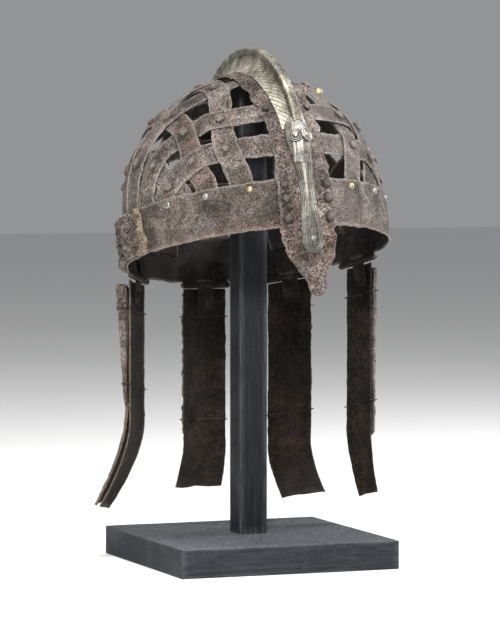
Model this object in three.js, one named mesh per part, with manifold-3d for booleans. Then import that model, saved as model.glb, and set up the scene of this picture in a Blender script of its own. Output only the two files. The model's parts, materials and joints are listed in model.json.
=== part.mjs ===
// An iron lattice helmet with a bronze crest and hanging neck plates, on a plain wooden stand.
// Millimetres, +Z up, front at -Y, origin in the middle of the stand's underside.
import * as THREE from 'three';
import { mergeVertices } from 'three/addons/utils/BufferGeometryUtils.js';
import Module from 'manifold-3d';

const wasm = await Module();
wasm.setup();

// Stand: a square board and a square post.
const baseSide = 176;
const baseThickness = 22;
const postSide = 22.3;
const postShiftX = 0.5;
const postShiftY = 4.5;

// Longest neck plate, and how much further the rim's middle stands above the board, so that the
// plates hang clear of it.
const longestPlate = 180;
const rimAbovePlate = 34.8;

// How the helmet sits on the post: middle of its rim, and its tilts in degrees.
const rimCentreX = 7;
const rimCentreY = 0.3;
const rimHeight = baseThickness + longestPlate + rimAbovePlate;
const pitchBack = 14.5;
const sideTilt = -1.1;
const turnLeft = 1.2;

// Shell: an oval wall below a round dome, measured on the outer face of the brow band.
const frontReach = 108.4;
const backReach = 104.4;
const halfWidth = 103.7;
const ovalFullness = 1.86;
const domeRise = 104.9;
const domeFullness = 2.04;
const bandHeight = 36.7;
const bandThickness = 1.5;
const pieceGap = 0.3;

// How far flat facets may dip below the curve that they follow.
const facetSlack = 0.15;

// Lattice strips woven under the band and the ridge strap.
const stripWidth = 19;
const stripThickness = 1.3;
const crossingGap = 0.45;
const stripTuck = 14;
const weaveMargin = 1.8;
const stripStep = 16;

// Ridge strap from the nasal over the crown to the nape.
const strapWidth = 44;
const strapThickness = 1.8;
const strapShift = -1;
const strapStepStart = 2.5;
const strapStepEnd = 9;
const nasalLength = 54;

// Bronze crest, its head and the nose strip below it.
const crestWidth = 7.4;
const crestWallWidth = 6;
const crestFootWidth = 22;
const crestRise = 18.5;
const crestFrontRise = 9;
const crestBackRise = 4.5;
const crestBandDepth = 5.5;
const crestRimDepth = 0.6;
const crestFootDepth = 0.9;
const crestFrontClimb = 22;
const crestBackClimb = 14;
const headWidth = 19.5;
const headLength = 38;
const headRise = 9;
const headClimb = 16.5;
const eyeSide = 4.4;
const eyeTilt = 24;
const eyeRadius = 5.8;
const eyeRelief = 1.1;
const noseStripWidth = 16.5;
const noseStripThickness = 1.8;
const noseStripDrop = 22;

// Rivets.
const rivetRadius = 3.4;
const rivetRise = 2.3;
const strapRivetRadius = 4.2;
const strapRivetMargin = 1.5;
const strapRivetRise = 2.8;
const bandRivetRadius = 2.4;
const bandRivetRise = 1.4;
const bandRivetDrop = 5.5;
const rivetSink = 0.8;

// Hinges of the neck plates.
const knuckleRadius = 2.5;
const knuckleBore = 1.35;
const pinRadius = 1.05;
const pinHeadRadius = 2.1;
const pinHeadThickness = 1;
const sideKnuckleLength = 12.5;
const midKnuckleLength = 14;
const knuckleGap = 0.4;
const leafThickness = 1.2;
const leafHeight = 14;
const tongueLength = 20;
const tongueWidth = 13;

// Neck plates: a smooth inner plate, and a shorter outer sheet held to it by two wire ties.
const plateWidth = 36;
const plateThickness = 1.3;
const plateBow = 3;
const plateFlare = 27;
const sheetThickness = 1.6;
const sheetStandoff = 2.2;
const sheetTopDrop = 8;
const tieRadius = 0.55;
const tieGap = 0.35;
const upperTieDepth = 25;

// Rust-swollen patch on the band beside the wearer's right neck plate.
const patchTurnFrom = -124;
const patchTurnTo = -77;
const patchThickness = 5;
const patchLift = 2;

// Strips from front to back. turn is degrees round the head from the front, climb is degrees
// up the dome. Each is mirrored to the other side.
const longRoutes = [
  [[27, 0], [33, 19], [35, 34], [40, 54], [90, 69], [141, 54], [147, 34], [151, 19], [158.5, 0]],
  [[43, 0], [49, 14], [56, 32], [90, 45], [124, 32], [136, 14], [146, 0]],
  [[56, 0], [62, 6], [73, 18], [90, 21], [107, 18], [121, 6], [127, 0]],
];

// Strips from side to side, listed from the ridge down to the band.
const crossRoutes = [
  [[0, 16.5], [15, 16], [41, 16], [55, 10], [65, 0]],
  [[0, 34], [22, 33], [45, 32], [64, 24], [73, 12], [76, 0]],
  [[0, 60], [43, 58], [60, 48], [76, 36], [84, 20], [87, 0]],
  [[0, 86], [84, 65], [96, 44], [97, 20], [97.8, 0]],
  [[180, 65], [132, 50], [117, 33], [110, 16], [108.6, 0]],
  [[180, 41], [155, 40], [134, 30], [123, 14], [119.5, 0]],
  [[180, 19], [165, 18.5], [151, 12], [138.5, 0]],
];

// How they weave: a row for each long strip, a letter for each cross strip. o is where the long
// strip passes outside, i where it passes inside.
const weave = ['oioioio', 'ioioiio', 'iiiiiii'];

// Rivets through the band into the strip ends behind it, as degrees from the front to each side.
const bandRivetTurns = [23, 42, 61, 87, 108.6, 127, 146, 158.5];

// Rivet pairs where the ridge strap lies on the band: degrees round the head, and the height as a
// share of the band's.
const strapRivetRows = [[0, 0.16], [0, 0.57], [0, 0.87], [180, 0.22], [180, 0.76]];

// The cross strips whose ends show a rivet in the band, and those riveted to the ridge strap.
const strapRivetedStrips = [1, 3, 5];

// Nasal outline: depth below the rim as a share of its length, half width as a share of the
// strap's half width.
const nasalOutline = [[0, 1], [0.2, 0.97], [0.34, 0.88], [0.46, 0.81], [0.6, 0.58], [0.78, 0.38], [0.94, 0.22], [1, 0.1]];

// The neck plates. turn is degrees round the head from the front. The other columns are shares:
// length is of the longest plate, width and foot (its width at the foot) are of plateWidth, flare
// and sway are of plateFlare, crust is of sheetThickness, and the rest are of the plate's length.
const neckPlates = [
  {
    name: 'right', turn: -127, length: 0.98, width: 1, foot: 0.6,
    flare: 1, sway: 0, flareLength: 0.37, sheet: 0.58, tie: 0.47, crust: 5.5,
  },
  {
    name: 'back_right', turn: -176, length: 0.9, width: 1.04, foot: 1.15,
    flare: 0.52, sway: 0.05, flareLength: 0.22, sheet: 0.76, tie: 0.66, crust: 1.5,
  },
  {
    name: 'back_left', turn: 144, length: 0.97, width: 1, foot: 1,
    flare: 0.96, sway: 0.2, flareLength: 0.25, sheet: 0.72, tie: 0.61, crust: 1.5,
  },
  {
    name: 'left', turn: 105.7, length: 0.99, width: 0.8, foot: 0.6,
    flare: 0.42, sway: -0.05, flareLength: 0.28, sheet: 0.79, tie: 0.61, crust: 2.5,
  },
];

const iron = { color: 0x6f645d, roughness: 0.78, metalness: 0.75 };
const darkIron = { color: 0x4a443f, roughness: 0.82, metalness: 0.7 };
const bronze = { color: 0x7a7252, roughness: 0.55, metalness: 0.85 };
const steel = { color: 0x8a8682, roughness: 0.5, metalness: 0.9 };
const paintedWood = { color: 0x353a40, roughness: 0.8, metalness: 0 };

const up = new THREE.Vector3(0, 0, 1);
const radians = THREE.MathUtils.degToRad;
const bandSteps = 64;
const rivetSides = 6;
const eyeSides = 9;
const knuckleSides = 8;
const pinSides = 6;

// Solids as three.js geometry, and joins and cuts through manifold-3d.
function toSolid(geometry) {
  const bare = geometry.clone();
  bare.deleteAttribute('normal');
  bare.deleteAttribute('uv');
  const merged = mergeVertices(bare, 1e-4);
  return new wasm.Manifold(new wasm.Mesh({
    numProp: 3,
    vertProperties: new Float32Array(merged.attributes.position.array),
    triVerts: new Uint32Array(merged.index.array),
  }));
}

function fromSolid(solid) {
  const mesh = solid.getMesh();
  const geometry = new THREE.BufferGeometry();
  geometry.setAttribute('position', new THREE.BufferAttribute(new Float32Array(mesh.vertProperties), 3));
  geometry.setIndex(new THREE.BufferAttribute(new Uint32Array(mesh.triVerts), 1));
  geometry.computeVertexNormals();
  return geometry;
}

function joined(first, ...others) {
  return fromSolid(others.reduce((sum, next) => sum.add(toSolid(next)), toSolid(first)));
}

function cutBy(first, ...cutters) {
  return fromSolid(cutters.reduce((rest, next) => rest.subtract(toSolid(next)), toSolid(first)));
}

// A closed sheet between two grids of points with the same rows and columns.
function sheetSolid(outer, inner) {
  const rows = outer.length;
  const columns = outer[0].length;
  const points = [...outer.flat(), ...inner.flat()];
  const at = (layer, row, column) => layer * rows * columns + row * columns + column;
  const index = [];
  const quad = (a, b, c, d) => index.push(a, b, c, a, c, d);
  for (let row = 0; row + 1 < rows; row++) {
    for (let column = 0; column + 1 < columns; column++) {
      quad(at(0, row, column), at(0, row, column + 1), at(0, row + 1, column + 1), at(0, row + 1, column));
      quad(at(1, row, column), at(1, row + 1, column), at(1, row + 1, column + 1), at(1, row, column + 1));
    }
    quad(at(0, row, 0), at(0, row + 1, 0), at(1, row + 1, 0), at(1, row, 0));
    quad(at(0, row + 1, columns - 1), at(0, row, columns - 1), at(1, row, columns - 1), at(1, row + 1, columns - 1));
  }
  for (let column = 0; column + 1 < columns; column++) {
    quad(at(0, 0, column + 1), at(0, 0, column), at(1, 0, column), at(1, 0, column + 1));
    quad(at(0, rows - 1, column), at(0, rows - 1, column + 1), at(1, rows - 1, column + 1), at(1, rows - 1, column));
  }
  const geometry = new THREE.BufferGeometry();
  geometry.setAttribute('position', new THREE.BufferAttribute(new Float32Array(points.flatMap((p) => [p.x, p.y, p.z])), 3));
  geometry.setIndex(index);
  return outward(geometry);
}

// Turns a closed geometry's faces to point out.
function outward(geometry) {
  const position = geometry.attributes.position;
  const index = geometry.index.array;
  const [a, b, c] = [new THREE.Vector3(), new THREE.Vector3(), new THREE.Vector3()];
  let volume = 0;
  for (let i = 0; i < index.length; i += 3) {
    a.fromBufferAttribute(position, index[i]);
    b.fromBufferAttribute(position, index[i + 1]);
    c.fromBufferAttribute(position, index[i + 2]);
    volume += a.dot(b.cross(c));
  }
  if (volume < 0) {
    for (let i = 0; i < index.length; i += 3) {
      [index[i + 1], index[i + 2]] = [index[i + 2], index[i + 1]];
    }
  }
  geometry.computeVertexNormals();
  return geometry;
}

// Moves a geometry drawn along its own +Z to a point, facing a direction.
function facing(geometry, point, direction) {
  geometry.applyQuaternion(new THREE.Quaternion().setFromUnitVectors(up, direction));
  return geometry.translate(point.x, point.y, point.z);
}

// Moves a geometry drawn in a local frame of three unit directions to that frame's place.
function inFrame(geometry, frame) {
  return geometry.applyMatrix4(new THREE.Matrix4().makeBasis(frame.x, frame.y, frame.z).setPosition(frame.origin));
}

// The shell's size function: 1 on the shell that lies offset outside the band's outer face.
function shellSize(point, offset) {
  const reach = (point.y < 0 ? frontReach : backReach) + offset;
  const across = Math.abs(point.x / (halfWidth + offset)) ** ovalFullness;
  const along = Math.abs(point.y / reach) ** ovalFullness;
  const round = (across + along) ** (1 / ovalFullness);
  const rise = Math.max(0, point.z - bandHeight) / (domeRise + offset);
  return (round ** domeFullness + rise ** domeFullness) ** (1 / domeFullness);
}

// Drops a point onto the shell: from the dome's centre above the band, level below it.
function onShell(point, offset) {
  const size = shellSize(point, offset);
  const rise = Math.max(0, point.z - bandHeight) / size;
  const height = point.z > bandHeight ? bandHeight + rise : point.z;
  return new THREE.Vector3(point.x / size, point.y / size, height);
}

function shellNormal(point) {
  const step = 0.5;
  const gradient = new THREE.Vector3();
  for (const axis of ['x', 'y', 'z']) {
    const ahead = point.clone();
    const behind = point.clone();
    ahead[axis] += step;
    behind[axis] -= step;
    gradient[axis] = shellSize(ahead, 0) - shellSize(behind, 0);
  }
  return gradient.normalize();
}

// A point on the shell from degrees round the head and degrees up the dome.
function domePoint(turn, climb, offset = 0) {
  const level = Math.cos(radians(climb));
  const point = new THREE.Vector3(
    halfWidth * Math.sin(radians(turn)) * level,
    -frontReach * Math.cos(radians(turn)) * level,
    bandHeight + domeRise * Math.sin(radians(climb)),
  );
  return onShell(point, offset);
}

// A point on the wall below the dome, at a height above the rim.
function wallPoint(turn, height, offset = 0) {
  const point = new THREE.Vector3(Math.sin(radians(turn)), -Math.cos(radians(turn)), 0).multiplyScalar(halfWidth);
  point.z = height;
  return onShell(point, offset);
}

// A domed rivet head drawn along +Z, with a short shank sunk into what it holds.
function rivetHead(radius, rise) {
  const profile = [
    new THREE.Vector2(0, -rivetSink),
    new THREE.Vector2(radius, -rivetSink),
    new THREE.Vector2(radius * 0.82, rise * 0.62),
    new THREE.Vector2(0, rise),
  ];
  return new THREE.LatheGeometry(profile, rivetSides).rotateX(Math.PI / 2);
}

function rivetOn(point, offset, radius, rise) {
  return facing(rivetHead(radius, rise), onShell(point, offset), shellNormal(point));
}

// Lattice strips
const outerLevel = -(bandThickness + pieceGap);
const innerLevel = outerLevel - stripThickness - crossingGap;

// A strip's middle line: smooth through its route and down behind the band at both ends.
function stripLine(route) {
  const first = route[0][0];
  const last = route[route.length - 1][0];
  const tail = bandHeight - stripTuck;
  const points = [wallPoint(first, tail), ...route.map(([turn, climb]) => domePoint(turn, climb)), wallPoint(last, tail)];
  const curve = new THREE.CatmullRomCurve3(points, false, 'centripetal');
  return curve.getSpacedPoints(lineSteps).map((point) => onShell(point, 0));
}

const lineSteps = 240;

function lineLengths(line) {
  const lengths = [0];
  for (let i = 1; i < line.length; i++) {
    lengths.push(lengths[i - 1] + line[i].distanceTo(line[i - 1]));
  }
  return lengths;
}

// Where two strips cross: the closest samples of their lines, if they come close at all.
function crossing(first, second) {
  let best = { distance: Infinity };
  first.line.forEach((point, i) => {
    second.line.forEach((other, j) => {
      const distance = point.distanceTo(other);
      if (distance < best.distance) {
        best = { distance, i, j };
      }
    });
  });
  return best;
}

function lineDirection(line, i) {
  return line[Math.min(i + 2, line.length - 1)].clone().sub(line[Math.max(i - 2, 0)]).normalize();
}

// The strip's level along its length: flat across each crossing, sloping in between.
function levelAt(strip, length) {
  const stops = strip.stops;
  const next = stops.findIndex((stop) => length <= stop.length + stop.half + 1e-6);
  if (next === -1) {
    return stops[stops.length - 1].level;
  }
  const from = next === 0 ? 0 : stops[next - 1].length + stops[next - 1].half;
  const to = stops[next].length - stops[next].half;
  if (next === 0 || length >= to) {
    return stops[next].level;
  }
  return THREE.MathUtils.mapLinear(length, from, to, stops[next - 1].level, stops[next].level);
}

// Lengths where a strip's sections lie: both edges of each crossing, and steps between them.
function sectionLengths(strip) {
  const whole = strip.lengths[lineSteps];
  const edges = strip.stops.flatMap((stop) => [stop.length - stop.half, stop.length + stop.half]);
  const marks = [0, ...edges.filter((edge) => edge > 1 && edge < whole - 1), whole].sort((a, b) => a - b);
  const sections = [0];
  for (let i = 1; i < marks.length; i++) {
    const span = marks[i] - marks[i - 1];
    const steps = Math.max(1, Math.round(span / stripStep));
    for (let step = 1; step <= steps; step++) {
      sections.push(marks[i - 1] + (span * step) / steps);
    }
  }
  return sections;
}

// The place and direction on a strip's line at a length.
function placeAt(strip, length) {
  const next = Math.max(1, strip.lengths.findIndex((reached) => reached >= length - 1e-6));
  const share = (length - strip.lengths[next - 1]) / (strip.lengths[next] - strip.lengths[next - 1]);
  const point = strip.line[next - 1].clone().lerp(strip.line[next], share);
  return { point, way: lineDirection(strip.line, next) };
}

// A woven strip as a solid, following its line with its width laid on the shell.
function stripSolid(strip) {
  const shares = [-0.5, 0, 0.5];
  const outer = [];
  const inner = [];
  for (const length of sectionLengths(strip)) {
    const { point, way } = placeAt(strip, length);
    const side = shellNormal(point).cross(way).normalize();
    const level = levelAt(strip, length);
    const across = shares.map((share) => point.clone().addScaledVector(side, share * stripWidth));
    outer.push(across.map((edge) => onShell(edge, level)));
    inner.push(across.map((edge) => onShell(edge, level - stripThickness)));
  }
  return sheetSolid(outer, inner);
}

function mirroredRoute(route) {
  return route.map(([turn, climb]) => [-turn, climb]);
}

const longStrips = [];
for (const [sideName, flip] of [['right', true], ['left', false]]) {
  longRoutes.forEach((route, order) => {
    const line = stripLine(flip ? mirroredRoute(route) : route);
    longStrips.push({ name: `long_strip_${sideName}_${order + 1}`, order, line });
  });
}
const crossStrips = crossRoutes.map((route, order) => {
  const whole = [...mirroredRoute(route).reverse(), ...route.slice(1)];
  return { name: `cross_strip_${order + 1}`, order, line: stripLine(whole) };
});

for (const strip of [...longStrips, ...crossStrips]) {
  strip.lengths = lineLengths(strip.line);
  strip.stops = [];
  strip.rivets = [];
}

for (const long of longStrips) {
  for (const cross of crossStrips) {
    const meet = crossing(long, cross);
    if (meet.distance > stripWidth / 4) {
      continue;
    }
    const cosine = Math.abs(lineDirection(long.line, meet.i).dot(lineDirection(cross.line, meet.j)));
    const sine = Math.sqrt(1 - cosine * cosine);
    const half = (stripWidth / 2) * (1 + cosine) / sine + weaveMargin;
    const longOver = weave[long.order][cross.order] === 'o';
    const over = longOver ? long : cross;
    long.stops.push({ length: long.lengths[meet.i], half, level: longOver ? outerLevel : innerLevel });
    cross.stops.push({ length: cross.lengths[meet.j], half, level: longOver ? innerLevel : outerLevel });
    over.rivets.push(long.line[meet.i]);
  }
}

// Every cross strip runs at the outer level where it passes under the ridge strap.
for (const cross of crossStrips) {
  cross.stops.push({ length: cross.lengths[lineSteps / 2], half: strapWidth / 2, level: outerLevel });
}
for (const strip of [...longStrips, ...crossStrips]) {
  strip.stops.sort((a, b) => a.length - b.length);
}

function latticeStrip(strip) {
  const heads = strip.rivets.map((point) => rivetOn(point, outerLevel, rivetRadius, rivetRise));
  return joined(stripSolid(strip), ...heads);
}

// Brow band
function browBand() {
  const outer = [];
  const inner = [];
  for (let i = 0; i < bandSteps; i++) {
    const turn = (360 * i) / bandSteps;
    outer.push([wallPoint(turn, 0), wallPoint(turn, bandHeight)]);
    inner.push([wallPoint(turn, 0, -bandThickness), wallPoint(turn, bandHeight, -bandThickness)]);
  }
  const rivetHeight = bandHeight - bandRivetDrop;
  const heads = bandRivetTurns.flatMap((turn) => [turn, -turn]).filter((turn) => !underPatch(turn)).map((turn) => (
    rivetOn(wallPoint(turn, rivetHeight), 0, bandRivetRadius, bandRivetRise)
  ));
  return joined(ringSolid(outer, inner), ...heads);
}

function underPatch(turn) {
  const margin = 3;
  return turn > patchTurnFrom - margin && turn < patchTurnTo + margin;
}

// A closed ring between outer and inner pairs of low and high points.
function ringSolid(outer, inner) {
  const points = outer.flatMap((pair, i) => [pair[0], pair[1], inner[i][1], inner[i][0]]);
  const index = [];
  for (let i = 0; i < outer.length; i++) {
    const here = 4 * i;
    const next = 4 * ((i + 1) % outer.length);
    for (let k = 0; k < 4; k++) {
      const l = (k + 1) % 4;
      index.push(here + k, next + k, next + l, here + k, next + l, here + l);
    }
  }
  const geometry = new THREE.BufferGeometry();
  geometry.setAttribute('position', new THREE.BufferAttribute(new Float32Array(points.flatMap((p) => [p.x, p.y, p.z])), 3));
  geometry.setIndex(index);
  return outward(geometry);
}

// Ridge strap with nasal
const strapLow = outerLevel + pieceGap + facetSlack;
const strapOnBand = pieceGap;

// The strap's inner face: over the band at its ends, down on the strips over the dome.
function strapLevel(climb) {
  return THREE.MathUtils.lerp(strapOnBand, strapLow, THREE.MathUtils.smoothstep(climb, strapStepStart, strapStepEnd));
}

// Stations along the middle line, from below the rim in front to the rim behind.
function ridgeStations() {
  const stations = [];
  for (const [depth, share] of [...nasalOutline].reverse()) {
    stations.push({ point: wallPoint(0, -depth * nasalLength), share, level: strapOnBand });
  }
  stations.push({ point: wallPoint(0, bandHeight / 2), share: 1, level: strapOnBand });
  const climbs = [0, strapStepStart, strapStepEnd, 15, 22];
  for (let climb = 29; climb < 90; climb += 8) {
    climbs.push(climb);
  }
  climbs.push(90);
  for (const climb of climbs) {
    stations.push({ point: domePoint(0, climb), share: 1, level: strapLevel(climb) });
  }
  for (const climb of climbs.slice(0, -1).reverse()) {
    stations.push({ point: domePoint(180, climb), share: 1, level: strapLevel(climb) });
  }
  stations.push({ point: wallPoint(180, bandHeight / 2), share: 1, level: strapOnBand });
  stations.push({ point: wallPoint(180, 0), share: 1, level: strapOnBand });
  return stations;
}

function ridgeStrap() {
  const columns = [-1, -0.5, 0, 0.5, 1];
  const outer = [];
  const inner = [];
  for (const station of ridgeStations()) {
    const across = columns.map((column) => {
      const edge = station.point.clone();
      edge.x = strapShift + (column * station.share * strapWidth) / 2;
      return edge;
    });
    outer.push(across.map((edge) => onShell(edge, station.level + strapThickness)));
    inner.push(across.map((edge) => onShell(edge, station.level)));
  }
  return joined(sheetSolid(outer, inner), ...strapRivets());
}

function strapRivets() {
  const onBand = strapOnBand + strapThickness;
  const onDome = strapLow + strapThickness;
  const side = strapWidth / 2 - strapRivetRadius - strapRivetMargin;
  const heads = [];
  for (const flip of [-1, 1]) {
    for (const [turn, share] of strapRivetRows) {
      const point = wallPoint(turn, share * bandHeight);
      point.x = strapShift + flip * side;
      heads.push(rivetOn(point, onBand, strapRivetRadius, strapRivetRise));
    }
    for (const order of strapRivetedStrips) {
      const point = domePoint(...crossRoutes[order][0]);
      point.x = strapShift + flip * side;
      heads.push(rivetOn(point, onDome, strapRivetRadius, strapRivetRise));
    }
  }
  return heads;
}

// Bronze crest
const crestSeat = strapLow + strapThickness + pieceGap + 2 * facetSlack;

// The crest's height along the ridge, as a share from its head in front to its end behind.
function crestHeight(share) {
  const climb = Math.sin(Math.PI * Math.min(1, share / 0.9) ** 0.8);
  const ends = THREE.MathUtils.lerp(crestFrontRise, crestBackRise, share);
  return ends + (crestRise - ends) * Math.max(0, climb) ** 0.8;
}

// A point on the ridge's middle line, at degrees from front rim over the crown to the back rim.
function ridgePoint(angle, offset) {
  return angle <= 90 ? domePoint(0, angle, offset) : domePoint(180, 180 - angle, offset);
}

// The left half of the crest's section, from its foot up a hollow wall to the band along its top.
// sag lifts the flat underside clear of the strap's crown.
function crestSection(share) {
  const rise = crestHeight(share);
  const bandDepth = Math.min(crestBandDepth, 0.45 * rise);
  const wallTop = rise - bandDepth - crestRimDepth;
  const foot = (crestFootWidth / 2) * Math.min(0.94 + 0.3 * share, 1, 0.5 + 2 * (1 - share));
  const wall = crestWallWidth / 2;
  const rim = crestWidth / 2;
  const sag = foot ** 2 / (2 * domeRise);
  const low = sag + Math.min(crestFootDepth, 0.2 * wallTop);
  const hollow = [-(wall + 0.3 * (foot - wall)), 0.5 * wallTop];
  return [[-foot, sag], [-foot, low], hollow, [-wall, wallTop], [-rim, wallTop + crestRimDepth],
    [-rim, rise - bandDepth * 0.3], [-rim * 0.5, rise]];
}

function crest() {
  const stations = 20;
  const rows = [];
  for (let i = 0; i <= stations; i++) {
    const share = i / stations;
    const angle = THREE.MathUtils.lerp(crestFrontClimb, 180 - crestBackClimb, share);
    const section = crestSection(share);
    const whole = [...section, ...section.map(([x, z]) => [-x, z]).reverse()];
    rows.push(whole.map(([x, z]) => {
      const point = ridgePoint(angle, 0);
      point.x = strapShift + x;
      const seated = onShell(point, crestSeat + z);
      seated.x = strapShift + x;
      return seated;
    }));
  }
  return joined(sweptSolid(rows), crestHead());
}

// A closed solid swept through rows of the same closed section.
function sweptSolid(rows) {
  const count = rows[0].length;
  const points = rows.flat();
  const index = [];
  for (let row = 0; row + 1 < rows.length; row++) {
    for (let k = 0; k < count; k++) {
      const l = (k + 1) % count;
      const here = row * count;
      const next = here + count;
      index.push(here + k, next + k, next + l, here + k, next + l, here + l);
    }
  }
  const last = (rows.length - 1) * count;
  for (let k = 0; k + 1 < count / 2; k++) {
    const mirror = count - 1 - k;
    index.push(k, k + 1, mirror, k + 1, mirror - 1, mirror);
    index.push(last + k, last + mirror, last + k + 1, last + k + 1, last + mirror, last + mirror - 1);
  }
  const geometry = new THREE.BufferGeometry();
  geometry.setAttribute('position', new THREE.BufferAttribute(new Float32Array(points.flatMap((p) => [p.x, p.y, p.z])), 3));
  geometry.setIndex(index);
  return outward(geometry);
}

// The head lies on the strap at the crest's front end: a ridged snout with a ringed eye on each side.
// Its outline rows are the place along it, and the shares of its width and of its height there.
const headOutline = [
  [-1, 0.74, 0.42], [-0.6, 0.78, 0.62], [-0.2, 0.94, 0.86], [0.15, 1, 1],
  [0.5, 0.98, 1], [0.8, 0.9, 1], [1, 0.8, 0.9],
];
const headLift = [0.16, 0.7, 1, 0.7, 0.16];

function crestHead() {
  const halfSpan = (headLength / 2) * (180 / (Math.PI * domeRise));
  const outer = [];
  const inner = [];
  for (const [along, wide, high] of headOutline) {
    const point = ridgePoint(headClimb + along * halfSpan, 0);
    const across = [-1, -0.6, 0, 0.6, 1].map((column) => {
      const edge = point.clone();
      edge.x = strapShift + (column * wide * headWidth) / 2;
      return edge;
    });
    outer.push(across.map((edge, column) => onShell(edge, crestSeat + headRise * high * headLift[column])));
    inner.push(across.map((edge) => onShell(edge, crestSeat)));
  }
  const eyes = [-1, 1].map((side) => {
    const centre = ridgePoint(headClimb, 0);
    centre.x = strapShift + side * eyeSide;
    const way = shellNormal(centre).add(new THREE.Vector3(side * Math.tan(radians(eyeTilt)), 0, 0)).normalize();
    return facing(eyeRings(), onShell(centre, crestSeat + headRise * headLift[1]), way);
  });
  return joined(sheetSolid(outer, inner), ...eyes);
}

// Concentric rings round a middle boss, drawn along +Z.
function eyeRings() {
  const groove = eyeRelief * 0.35;
  const shares = [[0, 1], [0.25, 1], [0.4, 0.35], [0.6, 1], [0.8, 0.35], [1, 0.8]];
  const profile = [new THREE.Vector2(0, -headRise * 0.6), new THREE.Vector2(eyeRadius, -headRise * 0.6)];
  for (const [radius, height] of [...shares].reverse()) {
    profile.push(new THREE.Vector2(radius * eyeRadius, height === 1 ? eyeRelief : Math.max(groove, height * eyeRelief)));
  }
  return new THREE.LatheGeometry(profile, eyeSides).rotateX(Math.PI / 2);
}

// Nose strip: from just below the head down over the nasal, with a round end.
function noseStrip() {
  const half = noseStripWidth / 2;
  const headFoot = headClimb - (headLength / 2 + 0.6) * (180 / (Math.PI * domeRise));
  const stations = [];
  for (const share of [0, 0.5, 0.8, 0.95, 1]) {
    const angle = share * Math.PI / 2;
    const point = wallPoint(0, -noseStripDrop + half * (1 - Math.sin(angle)));
    stations.push({ point, wide: Math.max(0.12, Math.cos(angle)), climb: 0 });
  }
  stations.reverse();
  for (const [share, wide] of [[0.2, 0.82], [0.45, 0.7], [0.75, 0.68]]) {
    stations.push({ point: wallPoint(0, bandHeight * share), wide, climb: 0 });
  }
  for (const [climb, wide] of [[0, 0.72], [2.5, 0.78], [4.5, 0.84]]) {
    if (climb < headFoot) {
      stations.push({ point: domePoint(0, climb), wide, climb });
    }
  }
  stations.push({ point: domePoint(0, headFoot), wide: 0.88, climb: headFoot });
  const outer = [];
  const inner = [];
  for (const station of stations) {
    const level = strapLevel(station.climb) + strapThickness + pieceGap;
    const across = [-1, 0, 1].map((column) => {
      const edge = station.point.clone();
      edge.x = strapShift + column * half * station.wide;
      return edge;
    });
    outer.push(across.map((edge) => onShell(edge, level + noseStripThickness)));
    inner.push(across.map((edge) => onShell(edge, level)));
  }
  const rivet = wallPoint(0, -noseStripDrop / 2);
  rivet.x = strapShift;
  const level = strapOnBand + strapThickness + pieceGap + noseStripThickness;
  return joined(sheetSolid(outer, inner), rivetOn(rivet, level, bandRivetRadius, bandRivetRise));
}

// Rust patch: a thick crust over the band's outer face.
function rustPatch() {
  const outer = [];
  const inner = [];
  const steps = 8;
  for (let i = 0; i <= steps; i++) {
    const turn = THREE.MathUtils.lerp(patchTurnFrom, patchTurnTo, i / steps);
    const swell = 0.55 + 0.45 * Math.sin((Math.PI * i) / steps);
    const heights = [0, 0.3, 0.65, 1].map((share) => patchLift + share * (bandHeight - 2 * patchLift));
    outer.push(heights.map((height) => wallPoint(turn, height, pieceGap + patchThickness * swell)));
    inner.push(heights.map((height) => wallPoint(turn, height, pieceGap)));
  }
  return sheetSolid(outer, inner);
}

// Hinges and neck plates
const hingeHalfSpan = midKnuckleLength / 2 + knuckleGap + sideKnuckleLength;

// The hinge's place in the helmet: its pin lies just below the rim, inside the band.
function hingeFrame(turn) {
  const middle = wallPoint(turn, 0);
  const outwardWay = shellNormal(middle).setZ(0).normalize();
  const along = new THREE.Vector3().crossVectors(outwardWay, up).normalize();
  let inset = 0;
  for (let share = -1; share <= 1; share += 0.125) {
    const corner = onShell(middle.clone().addScaledVector(along, share * hingeHalfSpan), -bandThickness);
    inset = Math.max(inset, middle.clone().sub(corner).dot(outwardWay));
  }
  const origin = middle.clone().addScaledVector(outwardWay, -(inset + facetSlack + pieceGap + leafThickness / 2));
  origin.z = -(knuckleRadius + pieceGap);
  return { origin, x: along, y: outwardWay, z: up.clone() };
}

// A knuckle along the pin from one place to another, without its bore.
function knuckle(from, to) {
  const tube = new THREE.CylinderGeometry(knuckleRadius, knuckleRadius, to - from, knuckleSides).rotateZ(Math.PI / 2);
  return tube.translate((from + to) / 2, 0, 0);
}

function pinBore() {
  return new THREE.CylinderGeometry(knuckleBore, knuckleBore, 4 * hingeHalfSpan, knuckleSides).rotateZ(Math.PI / 2);
}

// A band leaf: a flat plate up the inside of the band, rolled round the pin at its foot.
function bandLeaf(side) {
  const near = midKnuckleLength / 2 + knuckleGap;
  const middle = side * (near + sideKnuckleLength / 2);
  const height = leafHeight + knuckleRadius;
  const plate = new THREE.BoxGeometry(sideKnuckleLength, leafThickness, height).translate(middle, 0, height / 2);
  const roll = knuckle(middle - sideKnuckleLength / 2, middle + sideKnuckleLength / 2);
  const head = rivetHead(bandRivetRadius, bandRivetRise).rotateX(Math.PI / 2);
  const heads = [0.42, 0.8].map((share, k) => (
    head.clone().translate(middle + side * (k - 0.5) * 4, -leafThickness / 2, height * share)
  ));
  return cutBy(joined(plate, roll, ...heads), pinBore());
}

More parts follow.
